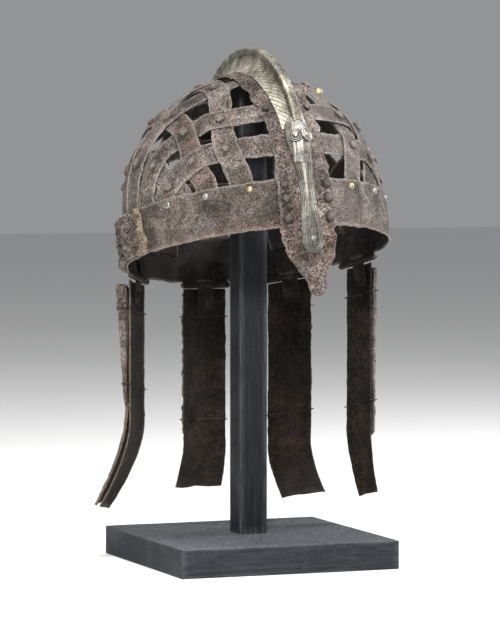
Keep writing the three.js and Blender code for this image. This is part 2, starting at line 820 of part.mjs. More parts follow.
// The pin, headed at both ends.
function hingePin() {
  const length = 2 * (hingeHalfSpan + knuckleGap);
  const shank = new THREE.CylinderGeometry(pinRadius, pinRadius, length + pinHeadThickness, pinSides).rotateZ(Math.PI / 2);
  const heads = [-1, 1].map((end) => (
    new THREE.CylinderGeometry(pinHeadRadius, pinHeadRadius, pinHeadThickness, pinSides)
      .rotateZ(Math.PI / 2)
      .translate((end * (length + pinHeadThickness)) / 2, 0, 0)
  ));
  return joined(shank, ...heads);
}

// The tongue: rolled round the pin, then flat down the inside of the plate to a round end.
function plateTongue() {
  const half = tongueWidth / 2;
  const shape = new THREE.Shape();
  shape.moveTo(-half, 0);
  shape.lineTo(half, 0);
  shape.lineTo(half, -(tongueLength - half));
  shape.absarc(0, -(tongueLength - half), half, 0, -Math.PI, true);
  shape.closePath();
  const flat = new THREE.ExtrudeGeometry(shape, { depth: leafThickness, bevelEnabled: false, curveSegments: 6 });
  flat.rotateX(Math.PI / 2).translate(0, leafThickness / 2, 0);
  const roll = knuckle(-midKnuckleLength / 2, midKnuckleLength / 2);
  const head = rivetHead(bandRivetRadius, bandRivetRise).rotateX(Math.PI / 2);
  head.translate(0, -leafThickness / 2, -(tongueLength - half));
  return cutBy(joined(flat, roll, head), pinBore());
}

function plateLength(plate) {
  return plate.length * longestPlate;
}

// A plate's face: across is -1 to 1, depth is below the pin, offset is outward from the pin. It hangs
// straight, then bends outward and sideways to its foot.
function platePoint(plate, across, depth, offset) {
  const flareLength = plate.flareLength * plateLength(plate);
  const beyond = Math.max(0, depth - (plateLength(plate) - flareLength)) / flareLength;
  const bend = plateFlare * beyond ** 1.6;
  const half = (plateWidth / 2) * THREE.MathUtils.lerp(plate.width, plate.foot, beyond);
  const bow = -plateBow * across * across;
  const x = across * half + plate.lean * depth + plate.sway * bend;
  return new THREE.Vector3(x, offset + bow + plate.flare * bend, -depth);
}

const plateTop = knuckleRadius + 2 * pieceGap;
const plateInner = leafThickness / 2 + pieceGap + plateBow;
const sheetInner = plateInner + plateThickness + sheetStandoff;

function neckPlate(plate) {
  const columns = [-1, -0.5, 0, 0.5, 1];
  const flareLength = plate.flareLength * plateLength(plate);
  const straight = plateLength(plate) - flareLength;
  const flareShares = [0, 0.2, 0.4, 0.6, 0.8, 1];
  const depths = [plateTop, straight / 2, ...flareShares.map((share) => straight + share * flareLength)];
  const face = (offset) => depths.map((depth) => columns.map((column) => platePoint(plate, column, depth, offset)));
  return sheetSolid(face(plateInner + plateThickness), face(plateInner));
}

// The outer sheet's thickness at a depth: its crust thins evenly from the top to the end.
function sheetThicknessAt(plate, depth) {
  const share = (depth - sheetTopDrop) / (plate.sheet * plateLength(plate) - sheetTopDrop);
  return sheetThickness * THREE.MathUtils.lerp(plate.crust, 1, share);
}

// The outer sheet: swollen with rust, ending ragged part way down.
function outerSheet(plate) {
  const columns = [-0.96, -0.5, 0, 0.5, 0.96];
  const ragged = [0.94, 1, 0.9, 0.97, 0.88];
  const face = (swollen) => [0, 0.25, 0.5, 0.75, 1].map((share) => columns.map((column, k) => {
    const depth = THREE.MathUtils.lerp(sheetTopDrop, plate.sheet * plateLength(plate) * ragged[k], share);
    return platePoint(plate, column, depth, sheetInner + swollen * sheetThicknessAt(plate, depth));
  }));
  return sheetSolid(face(1), face(0));
}

// A wire tie: a closed loop round the plate and the sheet.
function wireTie(plate, depth) {
  const reach = 1 + (2 * (tieGap + tieRadius)) / (plateWidth * plate.width);
  const inside = plateInner - tieGap - tieRadius;
  const outside = sheetInner + sheetThicknessAt(plate, depth) + tieGap + tieRadius;
  const loop = [
    ...[-1, -0.4, 0.4, 1].map((column) => platePoint(plate, column * reach, depth, inside)),
    ...[1, 0.5, 0, -0.5, -1].map((column) => platePoint(plate, column * reach, depth, outside)),
  ];
  return loopSolid(loop, tieRadius);
}

// A closed round wire through a loop of points at one depth.
function loopSolid(loop, radius) {
  const sides = 4;
  const centre = loop.reduce((sum, point) => sum.add(point), new THREE.Vector3()).divideScalar(loop.length);
  const rows = loop.map((point, i) => {
    const before = loop[(i + loop.length - 1) % loop.length];
    const after = loop[(i + 1) % loop.length];
    const into = point.clone().sub(before).normalize();
    const out = after.clone().sub(point).normalize();
    const way = into.clone().add(out).normalize();
    const side = new THREE.Vector3().crossVectors(way, up).normalize();
    if (side.dot(point.clone().sub(centre)) < 0) {
      side.negate();
    }
    const widen = 1 / Math.max(0.6, way.dot(out));
    const ring = [];
    for (let k = 0; k < sides; k++) {
      const angle = (2 * Math.PI * k) / sides;
      ring.push(point.clone()
        .addScaledVector(side, radius * widen * Math.cos(angle))
        .addScaledVector(up, radius * Math.sin(angle)));
    }
    return ring;
  });
  const index = [];
  rows.forEach((row, i) => {
    const here = i * sides;
    const next = ((i + 1) % rows.length) * sides;
    for (let k = 0; k < sides; k++) {
      const l = (k + 1) % sides;
      index.push(here + k, next + k, next + l, here + k, next + l, here + l);
    }
  });
  const geometry = new THREE.BufferGeometry();
  const numbers = new Float32Array(rows.flat().flatMap((p) => [p.x, p.y, p.z]));
  geometry.setAttribute('position', new THREE.BufferAttribute(numbers, 3));
  geometry.setIndex(index);
  return outward(geometry);
}

// Assembly
function piece(name, geometry, look) {
  const mesh = new THREE.Mesh(geometry, new THREE.MeshStandardMaterial(look));
  mesh.name = name;
  return mesh;
}

const model = new THREE.Group();
const helmet = new THREE.Group();
helmet.rotation.set(-radians(pitchBack), radians(sideTilt), radians(turnLeft), 'ZYX');
helmet.position.set(rimCentreX, rimCentreY, rimHeight);
helmet.updateMatrixWorld(true);
model.add(helmet);

// The height under the ridge strap over a place on the board.
function underStrap(x, y) {
  let low = rimHeight;
  let high = rimHeight + bandHeight + 2 * domeRise;
  for (let step = 0; step < 40; step++) {
    const middle = (low + high) / 2;
    const inside = shellSize(helmet.worldToLocal(new THREE.Vector3(x, y, middle)), strapLow) < 1;
    [low, high] = inside ? [middle, high] : [low, middle];
  }
  return low;
}

const postCorners = [[-1, -1], [-1, 1], [1, -1], [1, 1]].map(([sideX, sideY]) => (
  underStrap(postShiftX + (sideX * postSide) / 2, postShiftY + (sideY * postSide) / 2)
));
const postTop = Math.min(...postCorners) - pieceGap;

const base = piece('stand_base', new THREE.BoxGeometry(baseSide, baseSide, baseThickness), paintedWood);
base.position.set(0, 0, baseThickness / 2);
const post = piece('stand_post', new THREE.BoxGeometry(postSide, postSide, postTop - baseThickness), paintedWood);
post.position.set(postShiftX, postShiftY, (postTop + baseThickness) / 2);
model.add(base, post);

helmet.add(piece('brow_band', browBand(), darkIron));
helmet.add(piece('ridge_strap', ridgeStrap(), iron));
helmet.add(piece('bronze_crest', crest(), bronze));
helmet.add(piece('nose_strip', noseStrip(), bronze));
helmet.add(piece('rust_patch', rustPatch(), darkIron));
for (const strip of [...longStrips, ...crossStrips]) {
  helmet.add(piece(strip.name, latticeStrip(strip), iron));
}

for (const plate of neckPlates) {
  const frame = hingeFrame(plate.turn);
  const hang = new THREE.Group();
  const along = frame.x.clone().transformDirection(helmet.matrixWorld);
  const upright = up.clone().addScaledVector(along, -up.dot(along)).normalize();
  const outwardWay = new THREE.Vector3().crossVectors(upright, along);
  plate.lean = -along.dot(up) / upright.dot(up);
  hang.applyMatrix4(new THREE.Matrix4().makeBasis(along, outwardWay, upright)
    .setPosition(frame.origin.clone().applyMatrix4(helmet.matrixWorld)));
  for (const [label, side] of [['a', -1], ['b', 1]]) {
    helmet.add(piece(`hinge_leaf_${plate.name}_${label}`, inFrame(bandLeaf(side), frame), darkIron));
  }
  helmet.add(piece(`hinge_pin_${plate.name}`, inFrame(hingePin(), frame), steel));
  hang.add(piece(`hinge_tongue_${plate.name}`, plateTongue(), darkIron));
  hang.add(piece(`neck_plate_${plate.name}`, neckPlate(plate), darkIron));
  hang.add(piece(`outer_sheet_${plate.name}`, outerSheet(plate), iron));
  hang.add(piece(`wire_tie_${plate.name}_upper`, wireTie(plate, upperTieDepth), steel));
  hang.add(piece(`wire_tie_${plate.name}_lower`, wireTie(plate, plate.tie * plateLength(plate)), steel));
  model.add(hang);
}

export default model;
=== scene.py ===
# An iron lattice helmet with a bronze crest on a plain wooden stand, dressed for a close look.
# Shapes are worked out in millimetres and turned into metres as they become meshes.
import json
from math import cos, pi, radians, sin

import bpy
import numpy as np
from mathutils import Matrix, Vector


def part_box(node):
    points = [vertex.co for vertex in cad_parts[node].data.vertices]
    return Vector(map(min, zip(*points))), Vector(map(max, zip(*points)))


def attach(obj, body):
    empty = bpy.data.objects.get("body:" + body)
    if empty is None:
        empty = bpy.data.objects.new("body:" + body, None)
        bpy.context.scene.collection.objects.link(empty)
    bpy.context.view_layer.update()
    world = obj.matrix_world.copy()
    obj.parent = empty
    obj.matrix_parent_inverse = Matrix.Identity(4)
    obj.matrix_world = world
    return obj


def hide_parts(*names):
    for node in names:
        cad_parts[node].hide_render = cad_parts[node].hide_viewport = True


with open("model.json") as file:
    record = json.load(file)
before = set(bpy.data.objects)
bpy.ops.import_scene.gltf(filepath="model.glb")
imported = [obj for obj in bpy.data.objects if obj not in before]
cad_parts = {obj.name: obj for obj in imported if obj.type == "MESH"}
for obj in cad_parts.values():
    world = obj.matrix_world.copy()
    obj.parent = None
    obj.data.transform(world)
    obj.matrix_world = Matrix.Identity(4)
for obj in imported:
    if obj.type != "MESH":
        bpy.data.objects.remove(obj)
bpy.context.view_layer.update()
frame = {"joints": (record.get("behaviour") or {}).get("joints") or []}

metresPerMm = 0.001
mmPerMetre = 1000.0
root = "helmet_and_stand"

print("stage: helpers")

hashPrimes = np.array([374761393, 668265263, 2147483647, 1274126177])
wordMask = 0xFFFFFFFF


# Noise: hashed values at the corners of a cubic lattice, blended by a smooth step in each cell.
def softNoise(points, cell, seed=0):
    q = points / cell
    low = np.floor(q).astype(np.int64)
    f = q - low
    f = f * f * (3 - 2 * f)
    total = np.zeros(points.shape[:-1])
    for corner in np.ndindex(2, 2, 2):
        c = low + np.array(corner)
        h = (c @ hashPrimes[:3] + seed * hashPrimes[3]) & wordMask
        h = ((h ^ (h >> 13)) * hashPrimes[3]) & wordMask
        h = ((h ^ (h >> 16)) & 0xFFFF) / 32767.5 - 1
        weight = np.prod(np.where(np.array(corner) == 1, f, 1 - f), axis=-1)
        total += weight * h
    return total


# Several octaves of the same noise, each half the cell and half the height of the one before.
def roughNoise(points, cell, octaves=3, seed=0):
    return sum(softNoise(points, cell / 2**k, seed + k) / 2**k for k in range(octaves))


# The same vectors at length 1.
def unit(v):
    return v / np.maximum(np.linalg.norm(v, axis=-1, keepdims=True), 1e-9)


# 0 below low and 1 above high, or the other way round, with a smooth step between.
def stepBetween(x, low, high):
    t = np.clip((x - low) / (high - low), 0, 1)
    return t * t * (3 - 2 * t)


# The helmet's shell: an oval wall under a round dome, measured on the brow band's outer face.
# centre is the rim's middle on the stand; pitch, roll and turn are degrees. sink is how deep a
# rivet's foot goes into what it sits on.
shell = {
    "front": 108.4, "back": 104.4, "half": 103.7, "oval": 1.86,
    "rise": 104.9, "dome": 2.04, "band": 36.7, "bandThick": 1.5, "gap": 0.3,
    "centre": (7.0, 0.3, 236.8), "pitch": 14.5, "roll": -1.1, "turn": 1.2,
    "dent": 0.55, "dentCell": 38.0, "normalStep": 0.5, "sink": 0.1,
}


# A bell curve with its top at a place.
def hump(x, place, width):
    return np.exp(-(((x - place) / width) ** 2))


# Rotation about one axis by the right-hand rule.
def turnAbout(axis, degrees):
    return np.array(Matrix.Rotation(radians(degrees), 3, axis))


pose = turnAbout("Z", shell["turn"]) @ turnAbout("Y", shell["roll"]) @ turnAbout("X", -shell["pitch"])
helmetUp = pose @ np.array([0, 0, 1.0])


def onStand(points):
    return points @ pose.T + np.array(shell["centre"])


# Size of the shell at a point: the oval's radius and the dome's rise joined as a superellipse.
def shellSize(p, offset=0.0):
    reach = np.where(p[..., 1] < 0, shell["front"], shell["back"]) + offset
    across = np.abs(p[..., 0] / (shell["half"] + offset)) ** shell["oval"]
    along = np.abs(p[..., 1] / reach) ** shell["oval"]
    ring = np.maximum(across + along, 1e-12) ** (1 / shell["oval"])
    up = np.maximum(0, p[..., 2] - shell["band"]) / (shell["rise"] + offset)
    return (ring ** shell["dome"] + up ** shell["dome"]) ** (1 / shell["dome"])


# Old hammered unevenness, the same for every piece at one place, so that layers keep their gaps.
def dentAt(p):
    return shell["dent"] * softNoise(p, shell["dentCell"], 5)


# A point dropped onto the shell, towards the dome's centre above the band and level below it.
def onShell(p, offset=0.0):
    total = offset + dentAt(p)
    size = shellSize(p, total)
    up = np.maximum(0, p[..., 2] - shell["band"]) / size
    z = np.where(p[..., 2] > shell["band"], shell["band"] + up, p[..., 2])
    return np.stack([p[..., 0] / size, p[..., 1] / size, z], -1)


# The shell's outward way at a point: how fast the shell's size grows along each axis.
def shellNormal(p):
    shifts = np.eye(3) * shell["normalStep"]
    return unit(np.stack([shellSize(p + shift) - shellSize(p - shift) for shift in shifts], -1))


# Degrees round the head from the front, and degrees up the dome.
def domePoint(turn, climb):
    turn, climb = np.radians(np.asarray(turn, float)), np.radians(np.asarray(climb, float))
    level = np.cos(climb)
    p = np.stack([shell["half"] * np.sin(turn) * level, -shell["front"] * np.cos(turn) * level,
                  shell["band"] + shell["rise"] * np.sin(climb)], -1)
    return onShell(p)


# Degrees round the head from the front, and a height on the upright wall.
def wallPoint(turn, height):
    turn = np.radians(np.asarray(turn, float))
    height = np.asarray(height, float) + 0 * turn
    p = np.stack([np.sin(turn) * shell["half"], -np.cos(turn) * shell["half"], height], -1)
    return onShell(p)


# Middle line over the head in degrees: 0 is the front rim, 90 the crown and 180 the back rim.
def ridgePoint(angle):
    angle = np.asarray(angle, float)
    return domePoint(np.where(angle > 90, 180.0, 0.0), np.where(angle > 90, 180 - angle, angle))


edgeReach = 2.5    # how far in from a bar's edge the wear goes, mm


# A flat bar's section as a closed loop: straight faces joined by round edges. across is the place
# from the middle line, depth is the place in the thickness, edge is 1 at the round edges.
def barSection(halfWidth, thickness, faceSteps, edgeSteps=4):
    bend = thickness / 2
    flat = np.linspace(-1, 1, faceSteps) * (halfWidth - bend)
    arc = np.linspace(pi / 2, -pi / 2, edgeSteps + 2)[1:-1]
    tip = halfWidth - bend
    across = np.concatenate([flat, tip + bend * np.cos(arc), flat[::-1], -tip - bend * np.cos(arc)])
    depth = np.concatenate([flat * 0 + bend, bend * np.sin(arc), flat * 0 - bend, -bend * np.sin(arc)])
    edge = np.clip(1 - (halfWidth - np.abs(across)) / edgeReach, 0, 1)
    return across, depth, edge


# Rows of a top face carried back under it, a little narrower, to close the ring.
def roundTrip(values, narrow):
    return np.concatenate([values, narrow * values[:, 1:-1][:, ::-1]], 1)


# Rows of a top face's value, with 0 all along the underside.
def withUnder(values):
    return roundTrip(values, 0.0)


# Three coordinates, each a number, a row, a column or a whole grid, as points.
def grid3(x, y, z):
    return np.stack(np.broadcast_arrays(x, y, z), -1)


# Roughness of a bar's two faces: noise at the points, read a way off for the underside.
def faceNoise(points, depth, underside, cell, octaves, seed):
    return roughNoise(points + underside * (depth < 0)[:, None], cell, octaves, seed)


# Raggedness of a bar's two edges: noise along the line, read with each edge's own shift and seed.
def edgeNoise(line, across, cell, octaves, sides):
    plus, minus = (roughNoise(line + shift, cell, octaves, seed)[:, None] for shift, seed in sides)
    return np.where(across > 0, plus, minus)


# Collects closed grids, rings of points along a path, and makes one mesh object of them.
class Piece:
    def __init__(self, name):
        self.name = name
        self.points, self.values, self.loops, self.sizes = [], [], [], []
        self.count = 0

    # points is rings by places by three. A ring joins itself; the first and last rings are capped
    # unless the path closes. The faces are turned outward by the sign of the volume. along, across
    # and edge are kept for the materials.
    def add(self, points, along=0.0, across=0.0, edge=0.0, closed=False):
        rows, cols = points.shape[:2]
        r = np.arange(rows if closed else rows - 1)[:, None]
        c = np.arange(cols)[None, :]
        beside = (c + 1) % cols
        ahead = (r + 1) % rows * cols
        quads = np.stack([r * cols + c, r * cols + beside, ahead + beside, ahead + c], -1).reshape(-1, 4)
        flat = points.reshape(-1, 3)
        local = flat - flat.mean(0)
        volume = sum(np.einsum("ij,ij->i", local[q][:, 0], np.cross(local[q][:, 1], local[q][:, 2])).sum()
                     for q in (quads[:, :3], quads[:, [0, 2, 3]]))
        caps = [] if closed else [np.arange(cols)[::-1], (rows - 1) * cols + np.arange(cols)]
        if volume < 0:
            quads = quads[:, ::-1]
            caps = [cap[::-1] for cap in caps]
        self.loops += [(quads + self.count).ravel()] + [cap + self.count for cap in caps]
        self.sizes += [np.full(len(quads), 4)] + [np.array([cols])] * len(caps)
        values = [np.broadcast_to(v, (rows, cols)).ravel() for v in (along, across, edge)]
        self.values.append(np.stack(values, -1))
        self.points.append(flat)
        self.count += rows * cols

    def build(self, material, body, nodes):
        points = np.concatenate(self.points) * metresPerMm
        values = np.concatenate(self.values)
        loops = np.concatenate(self.loops)
        sizes = np.concatenate(self.sizes)
        mesh = bpy.data.meshes.new(self.name)
        mesh.vertices.add(len(points))
        mesh.vertices.foreach_set("co", points.astype(np.float32).ravel())
        mesh.loops.add(len(loops))
        mesh.loops.foreach_set("vertex_index", loops.astype(np.int32))
        mesh.polygons.add(len(sizes))
        starts = np.concatenate([[0], np.cumsum(sizes)[:-1]])
        mesh.polygons.foreach_set("loop_start", starts.astype(np.int32))
        mesh.polygons.foreach_set("use_smooth", np.full(len(sizes), True))
        mesh.update(calc_edges=True)
        for k, label in enumerate(("along", "across", "edge")):
            layer = mesh.attributes.new(label, "FLOAT", "POINT")
            layer.data.foreach_set("value", values[:, k].astype(np.float32))
        mesh.materials.append(material)
        obj = bpy.data.objects.new(self.name, mesh)
        bpy.context.scene.collection.objects.link(obj)
        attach(obj, body)
        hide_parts(*nodes)


# Unit ways at right angles to a normal, at even turns round it.
def spokes(normal, sides):
    side = unit(np.cross(normal, [0.31, 0.52, 0.79]))
    u = np.linspace(0, 2 * pi, sides, endpoint=False)
    return np.cos(u)[:, None] * side + np.sin(u)[:, None] * np.cross(normal, side)


# A rivet head as rings from foot to crown: the radius falls as a power of a cosine while the height
# rises as a sine, and noise pushes the face in and out.
def rivetGrid(centre, normal, radius, rise, seed, rough=0.12, sides=22, rings=9):
    normal = unit(np.asarray(normal, float))
    v = np.concatenate([[0.0], np.linspace(0, 1, rings)]) * pi / 2
    foot = np.arange(rings + 1) == 0
    ring = np.where(foot, 1.0, np.cos(v) ** 0.62) * radius + 0.02
    height = np.where(foot, -1.0, rise * np.sin(v))
    radial = spokes(normal, sides)
    grid = centre + ring[:, None, None] * radial[None] + height[:, None, None] * normal
    bump = roughNoise(grid + seed * 13.7, radius * 0.9, 3, seed) * rough * radius
    outward = unit(radial[None] * np.cos(v)[:, None, None] + normal * np.sin(v)[:, None, None])
    return grid + outward * bump[..., None]


# A rivet head seated on the shell at a point.
def shellRivet(spot, level, *shape):
    return onStand(rivetGrid(onShell(spot[None], level)[0], shellNormal(spot[None])[0], *shape))


# 0 at a rivet's foot and 1 on its crown, for wear on top and painted shade round the foot.
def crownOf(rivet):
    return np.linspace(0, 1, len(rivet))[:, None] ** 1.5


print("stage: materials")


def newGroup(name, inputs, outputs):
    group = bpy.data.node_groups.new(name, "ShaderNodeTree")
    for way, sockets in (("INPUT", inputs), ("OUTPUT", outputs)):
        for label, kind in sockets:
            group.interface.new_socket(label, in_out=way, socket_type=kind)
    return group, group.nodes.new("NodeGroupInput"), group.nodes.new("NodeGroupOutput")


# A node with its values set on its sockets, and its vector or value linked in.
def newNode(tree, kind, links, values):
    node = tree.nodes.new(kind)
    for label, value in values.items():
        node.inputs[label].default_value = value
    for label, source in links.items():
        tree.links.new(source, node.inputs[label])
    return node


def noiseNode(tree, vector, scale, detail=4, roughness=0.6, distortion=0.0):
    values = {"Scale": scale, "Detail": detail, "Roughness": roughness, "Distortion": distortion}
    return newNode(tree, "ShaderNodeTexNoise", {"Vector": vector}, values).outputs["Fac"]


def pitNode(tree, vector, scale):
    return newNode(tree, "ShaderNodeTexVoronoi", {"Vector": vector}, {"Scale": scale}).outputs["Distance"]


# A value's stretch from low to high carried smoothly to another stretch.
def ranged(tree, value, low, high, toLow=0.0, toHigh=1.0):
    values = {"From Min": low, "From Max": high, "To Min": toLow, "To Max": toHigh}
    node = newNode(tree, "ShaderNodeMapRange", {"Value": value}, values)
    node.interpolation_type = "SMOOTHSTEP"
    return node.outputs["Result"]


def sums(tree, operation, a, b):
    node = tree.nodes.new("ShaderNodeMath")
    node.operation = operation
    for socket, value in zip(node.inputs, (a, b)):
        if isinstance(value, (int, float)):
            socket.default_value = value
        else:
            tree.links.new(value, socket)
    return node.outputs[0]


def times(tree, a, b):
    return sums(tree, "MULTIPLY", a, b)


def mixed(tree, factor, a, b, blend="MIX"):
    node = tree.nodes.new("ShaderNodeMix")
    node.data_type = "RGBA"
    node.blend_type = blend
    for socket, value in ((node.inputs[0], factor), (node.inputs[6], a), (node.inputs[7], b)):
        if isinstance(value, (int, float)):
            socket.default_value = value
        elif isinstance(value, tuple):
            socket.default_value = (*value, 1)
        else:
            tree.links.new(value, socket)
    return node.outputs[2]


# A colour made lighter or darker by a value.
def shaded(tree, colour, shade):
    tint = tree.nodes.new("ShaderNodeCombineColor")
    for socket in tint.inputs[:3]:
        tree.links.new(shade, socket)
    return mixed(tree, 1.0, colour, tint.outputs[0], "MULTIPLY")


def ramp(tree, value, places, colours):
    node = tree.nodes.new("ShaderNodeValToRGB")
    bar = node.color_ramp
    while len(bar.elements) < len(places):
        bar.elements.new(0.5)
    for element, place, colour in zip(bar.elements, places, colours):
        element.position = place
        element.color = (*colour, 1)
    tree.links.new(value, node.inputs["Fac"])
    return node.outputs["Color"]


def attributeOf(tree, label):
    node = tree.nodes.new("ShaderNodeAttribute")
    node.attribute_name = label
    return node.outputs["Fac"]


def newMaterial(name):
    material = bpy.data.materials.new(name)
    material.use_nodes = True
    tree = material.node_tree
    shader = tree.nodes["Principled BSDF"]
    place = tree.nodes.new("ShaderNodeTexCoord").outputs["Object"]
    return material, tree, shader, place


# The last links of every material: colour, roughness and a bump from a height.
def finishShader(tree, shader, colour, roughness, height, strength, depth):
    values = {"Strength": strength, "Distance": depth}
    bump = newNode(tree, "ShaderNodeBump", {"Height": height}, values)
    tree.links.new(colour, shader.inputs["Base Color"])
    tree.links.new(roughness, shader.inputs["Roughness"])
    tree.links.new(bump.outputs["Normal"], shader.inputs["Normal"])


# Corrosion shared by all the iron: broad stains, rust blooms, a fine crust, pits, and a crumbly
# height, which is the crust and its grains less the pits.
def corrosionGroup():
    labels = ("Stain", "Rust", "Crust", "Pit", "Spark", "Height")
    group, inside, outside = newGroup(
        "corrosion", [("Vector", "NodeSocketVector")], [(label, "NodeSocketFloat") for label in labels])
    v = inside.outputs["Vector"]
    stain = noiseNode(group, v, 46, 6, 0.66, 0.4)      # patches about 20 mm across
    rust = noiseNode(group, v, 120, 7, 0.7, 0.9)       # smaller orange blooms
    crust = noiseNode(group, v, 600, 7, 0.8)           # grains under 2 mm across
    fine = noiseNode(group, v, 1350, 4, 0.75)          # grains under 1 mm across
    pit = ranged(group, pitNode(group, v, 400), 0.05, 0.45, 1, 0)
    pitField = ranged(group, noiseNode(group, v, 150, 4, 0.6), 0.42, 0.58)
    deep = times(group, pit, pitField)
    grit = ranged(group, pitNode(group, v, 950), 0.1, 0.55, 0.5, 0)
    height = sums(group, "ADD", times(group, crust, 1.3), times(group, fine, 0.5))
    height = sums(group, "SUBTRACT", sums(group, "ADD", height, grit), deep)
    for label, value in zip(labels, (stain, rust, crust, deep, fine, height)):
        group.links.new(value, outside.inputs[label])
    return group


corrosion = corrosionGroup()


# Iron: a stain ramp from dark to light, orange where the rust noise is high, shaded by the crust,
# dark in the pits, paler along worn edges and with a painted glint in single grains. The along value
# is painted shade on inner faces and rivet feet, and the across value lets more rust through.
def ironMaterial(name, look):
    material, tree, shader, place = newMaterial(name)
    c = tree.nodes.new("ShaderNodeGroup")
    c.node_tree = corrosion
    tree.links.new(place, c.inputs["Vector"])
    along, across, edge = (attributeOf(tree, label) for label in ("along", "across", "edge"))
    base = ramp(tree, c.outputs["Stain"], (0.36, 0.46, 0.54, 0.64), look["stains"])
    rustiness = sums(tree, "ADD", c.outputs["Rust"], times(tree, across, 0.14))
    rustMask = ranged(tree, rustiness, look["rustFrom"], look["rustFrom"] + 0.12, 0, look["rustMost"])
    base = mixed(tree, rustMask, base, look["rust"])
    contrast = look["contrast"]
    crustShade = ranged(tree, c.outputs["Crust"], 0.435, 0.565, 1 - contrast, 1 + contrast * 0.85)
    # Painted shade: inner faces and rivet feet darkened by the along value, down to the inside share.
    base = shaded(tree, base, times(tree, crustShade, ranged(tree, along, 0, 1, 1, look["inside"])))
    base = mixed(tree, times(tree, c.outputs["Pit"], look["pits"]), base, look["pit"])
    worn = times(tree, edge, ranged(tree, c.outputs["Spark"], 0.38, 0.62, 0.05, look["wear"]))
    base = mixed(tree, worn, base, look["worn"])
    # Painted glint: single grains lit in the spark colour, less on the painted shade of inner faces.
    glint = ranged(tree, c.outputs["Spark"], 0.56, 0.68, 0, look["glint"])
    base = mixed(tree, times(tree, glint, ranged(tree, along, 0, 1, 1, 0.2)), base, look["spark"])
    roughness = ranged(tree, c.outputs["Crust"], 0.34, 0.66, look["smooth"], look["dull"])
    shader.inputs["Metallic"].default_value = look["metal"]
    shader.inputs["Specular IOR Level"].default_value = look["specular"]
    finishShader(tree, shader, base, roughness, c.outputs["Height"], look["bump"], look["depth"])
    return material


# In these looks, inside is how bright inner faces and rivet feet stay under their painted shade.
ironLook = {
    "stains": ((0.034, 0.025, 0.02), (0.08, 0.062, 0.053), (0.127, 0.103, 0.09), (0.205, 0.178, 0.16)),
    "rust": (0.2, 0.098, 0.056), "rustFrom": 0.56, "rustMost": 0.5, "contrast": 0.75,
    "pit": (0.012, 0.009, 0.008), "pits": 0.7, "wear": 0.75, "worn": (0.4, 0.355, 0.32),
    # glint and spark are a painted highlight in single grains.
    "glint": 0.75, "spark": (0.55, 0.5, 0.46), "inside": 0.25, "smooth": 0.3, "dull": 0.72,
    "metal": 0.45, "specular": 0.5, "bump": 1.0, "depth": 0.0012,
}
redLook = {
    **ironLook, "rustMost": 0.6, "rustFrom": 0.54,
    "stains": ((0.036, 0.024, 0.018), (0.08, 0.057, 0.045), (0.125, 0.093, 0.077), (0.19, 0.155, 0.135)),
}
bandLook = {
    **ironLook, "contrast": 0.7, "rustFrom": 0.58,
    "stains": ((0.025, 0.017, 0.013), (0.054, 0.04, 0.032), (0.09, 0.069, 0.058), (0.155, 0.127, 0.11)),
}
crumblyLook = {
    **ironLook, "depth": 0.003, "pits": 0.4, "rustMost": 0.45, "wear": 0.4, "rust": (0.22, 0.1, 0.06),
    "stains": ((0.06, 0.044, 0.037), (0.14, 0.108, 0.092), (0.22, 0.178, 0.155), (0.34, 0.29, 0.26)),
}
flakyLook = {
    **crumblyLook, "wear": 1.0, "worn": (0.6, 0.49, 0.36), "contrast": 1.0, "inside": 1.0,
    "depth": 0.004, "pits": 0.95,
}
plateLook = {
    **ironLook, "rust": (0.06, 0.026, 0.013), "rustFrom": 0.58, "rustMost": 0.65, "contrast": 0.7,
    "wear": 0.4, "worn": (0.09, 0.072, 0.06), "inside": 1.0, "glint": 0.8, "spark": (0.14, 0.112, 0.09),
    "metal": 0.2, "specular": 0.2, "pits": 0.4, "depth": 0.0022,
    "stains": ((0.006, 0.0045, 0.004), (0.012, 0.0092, 0.0076), (0.019, 0.0145, 0.012),
               (0.036, 0.027, 0.022)),
}
wireLook = {
    **ironLook, "bump": 0.25, "depth": 0.0003, "glint": 0.1, "specular": 0.25,
    "stains": ((0.012, 0.009, 0.007), (0.024, 0.018, 0.014), (0.038, 0.03, 0.024), (0.065, 0.053, 0.044)),
}
latticeIron = ironMaterial("latticeIron", ironLook)
redIron = ironMaterial("redIron", redLook)
bandIron = ironMaterial("bandIron", bandLook)
crumblyIron = ironMaterial("crumblyIron", crumblyLook)
plateIron = ironMaterial("plateIron", plateLook)
flakyIron = ironMaterial("flakyIron", flakyLook)
footIron = ironMaterial("footIron", {**plateLook, "wear": 1.0, "worn": (0.36, 0.29, 0.24)})
wireIron = ironMaterial("wireIron", wireLook)
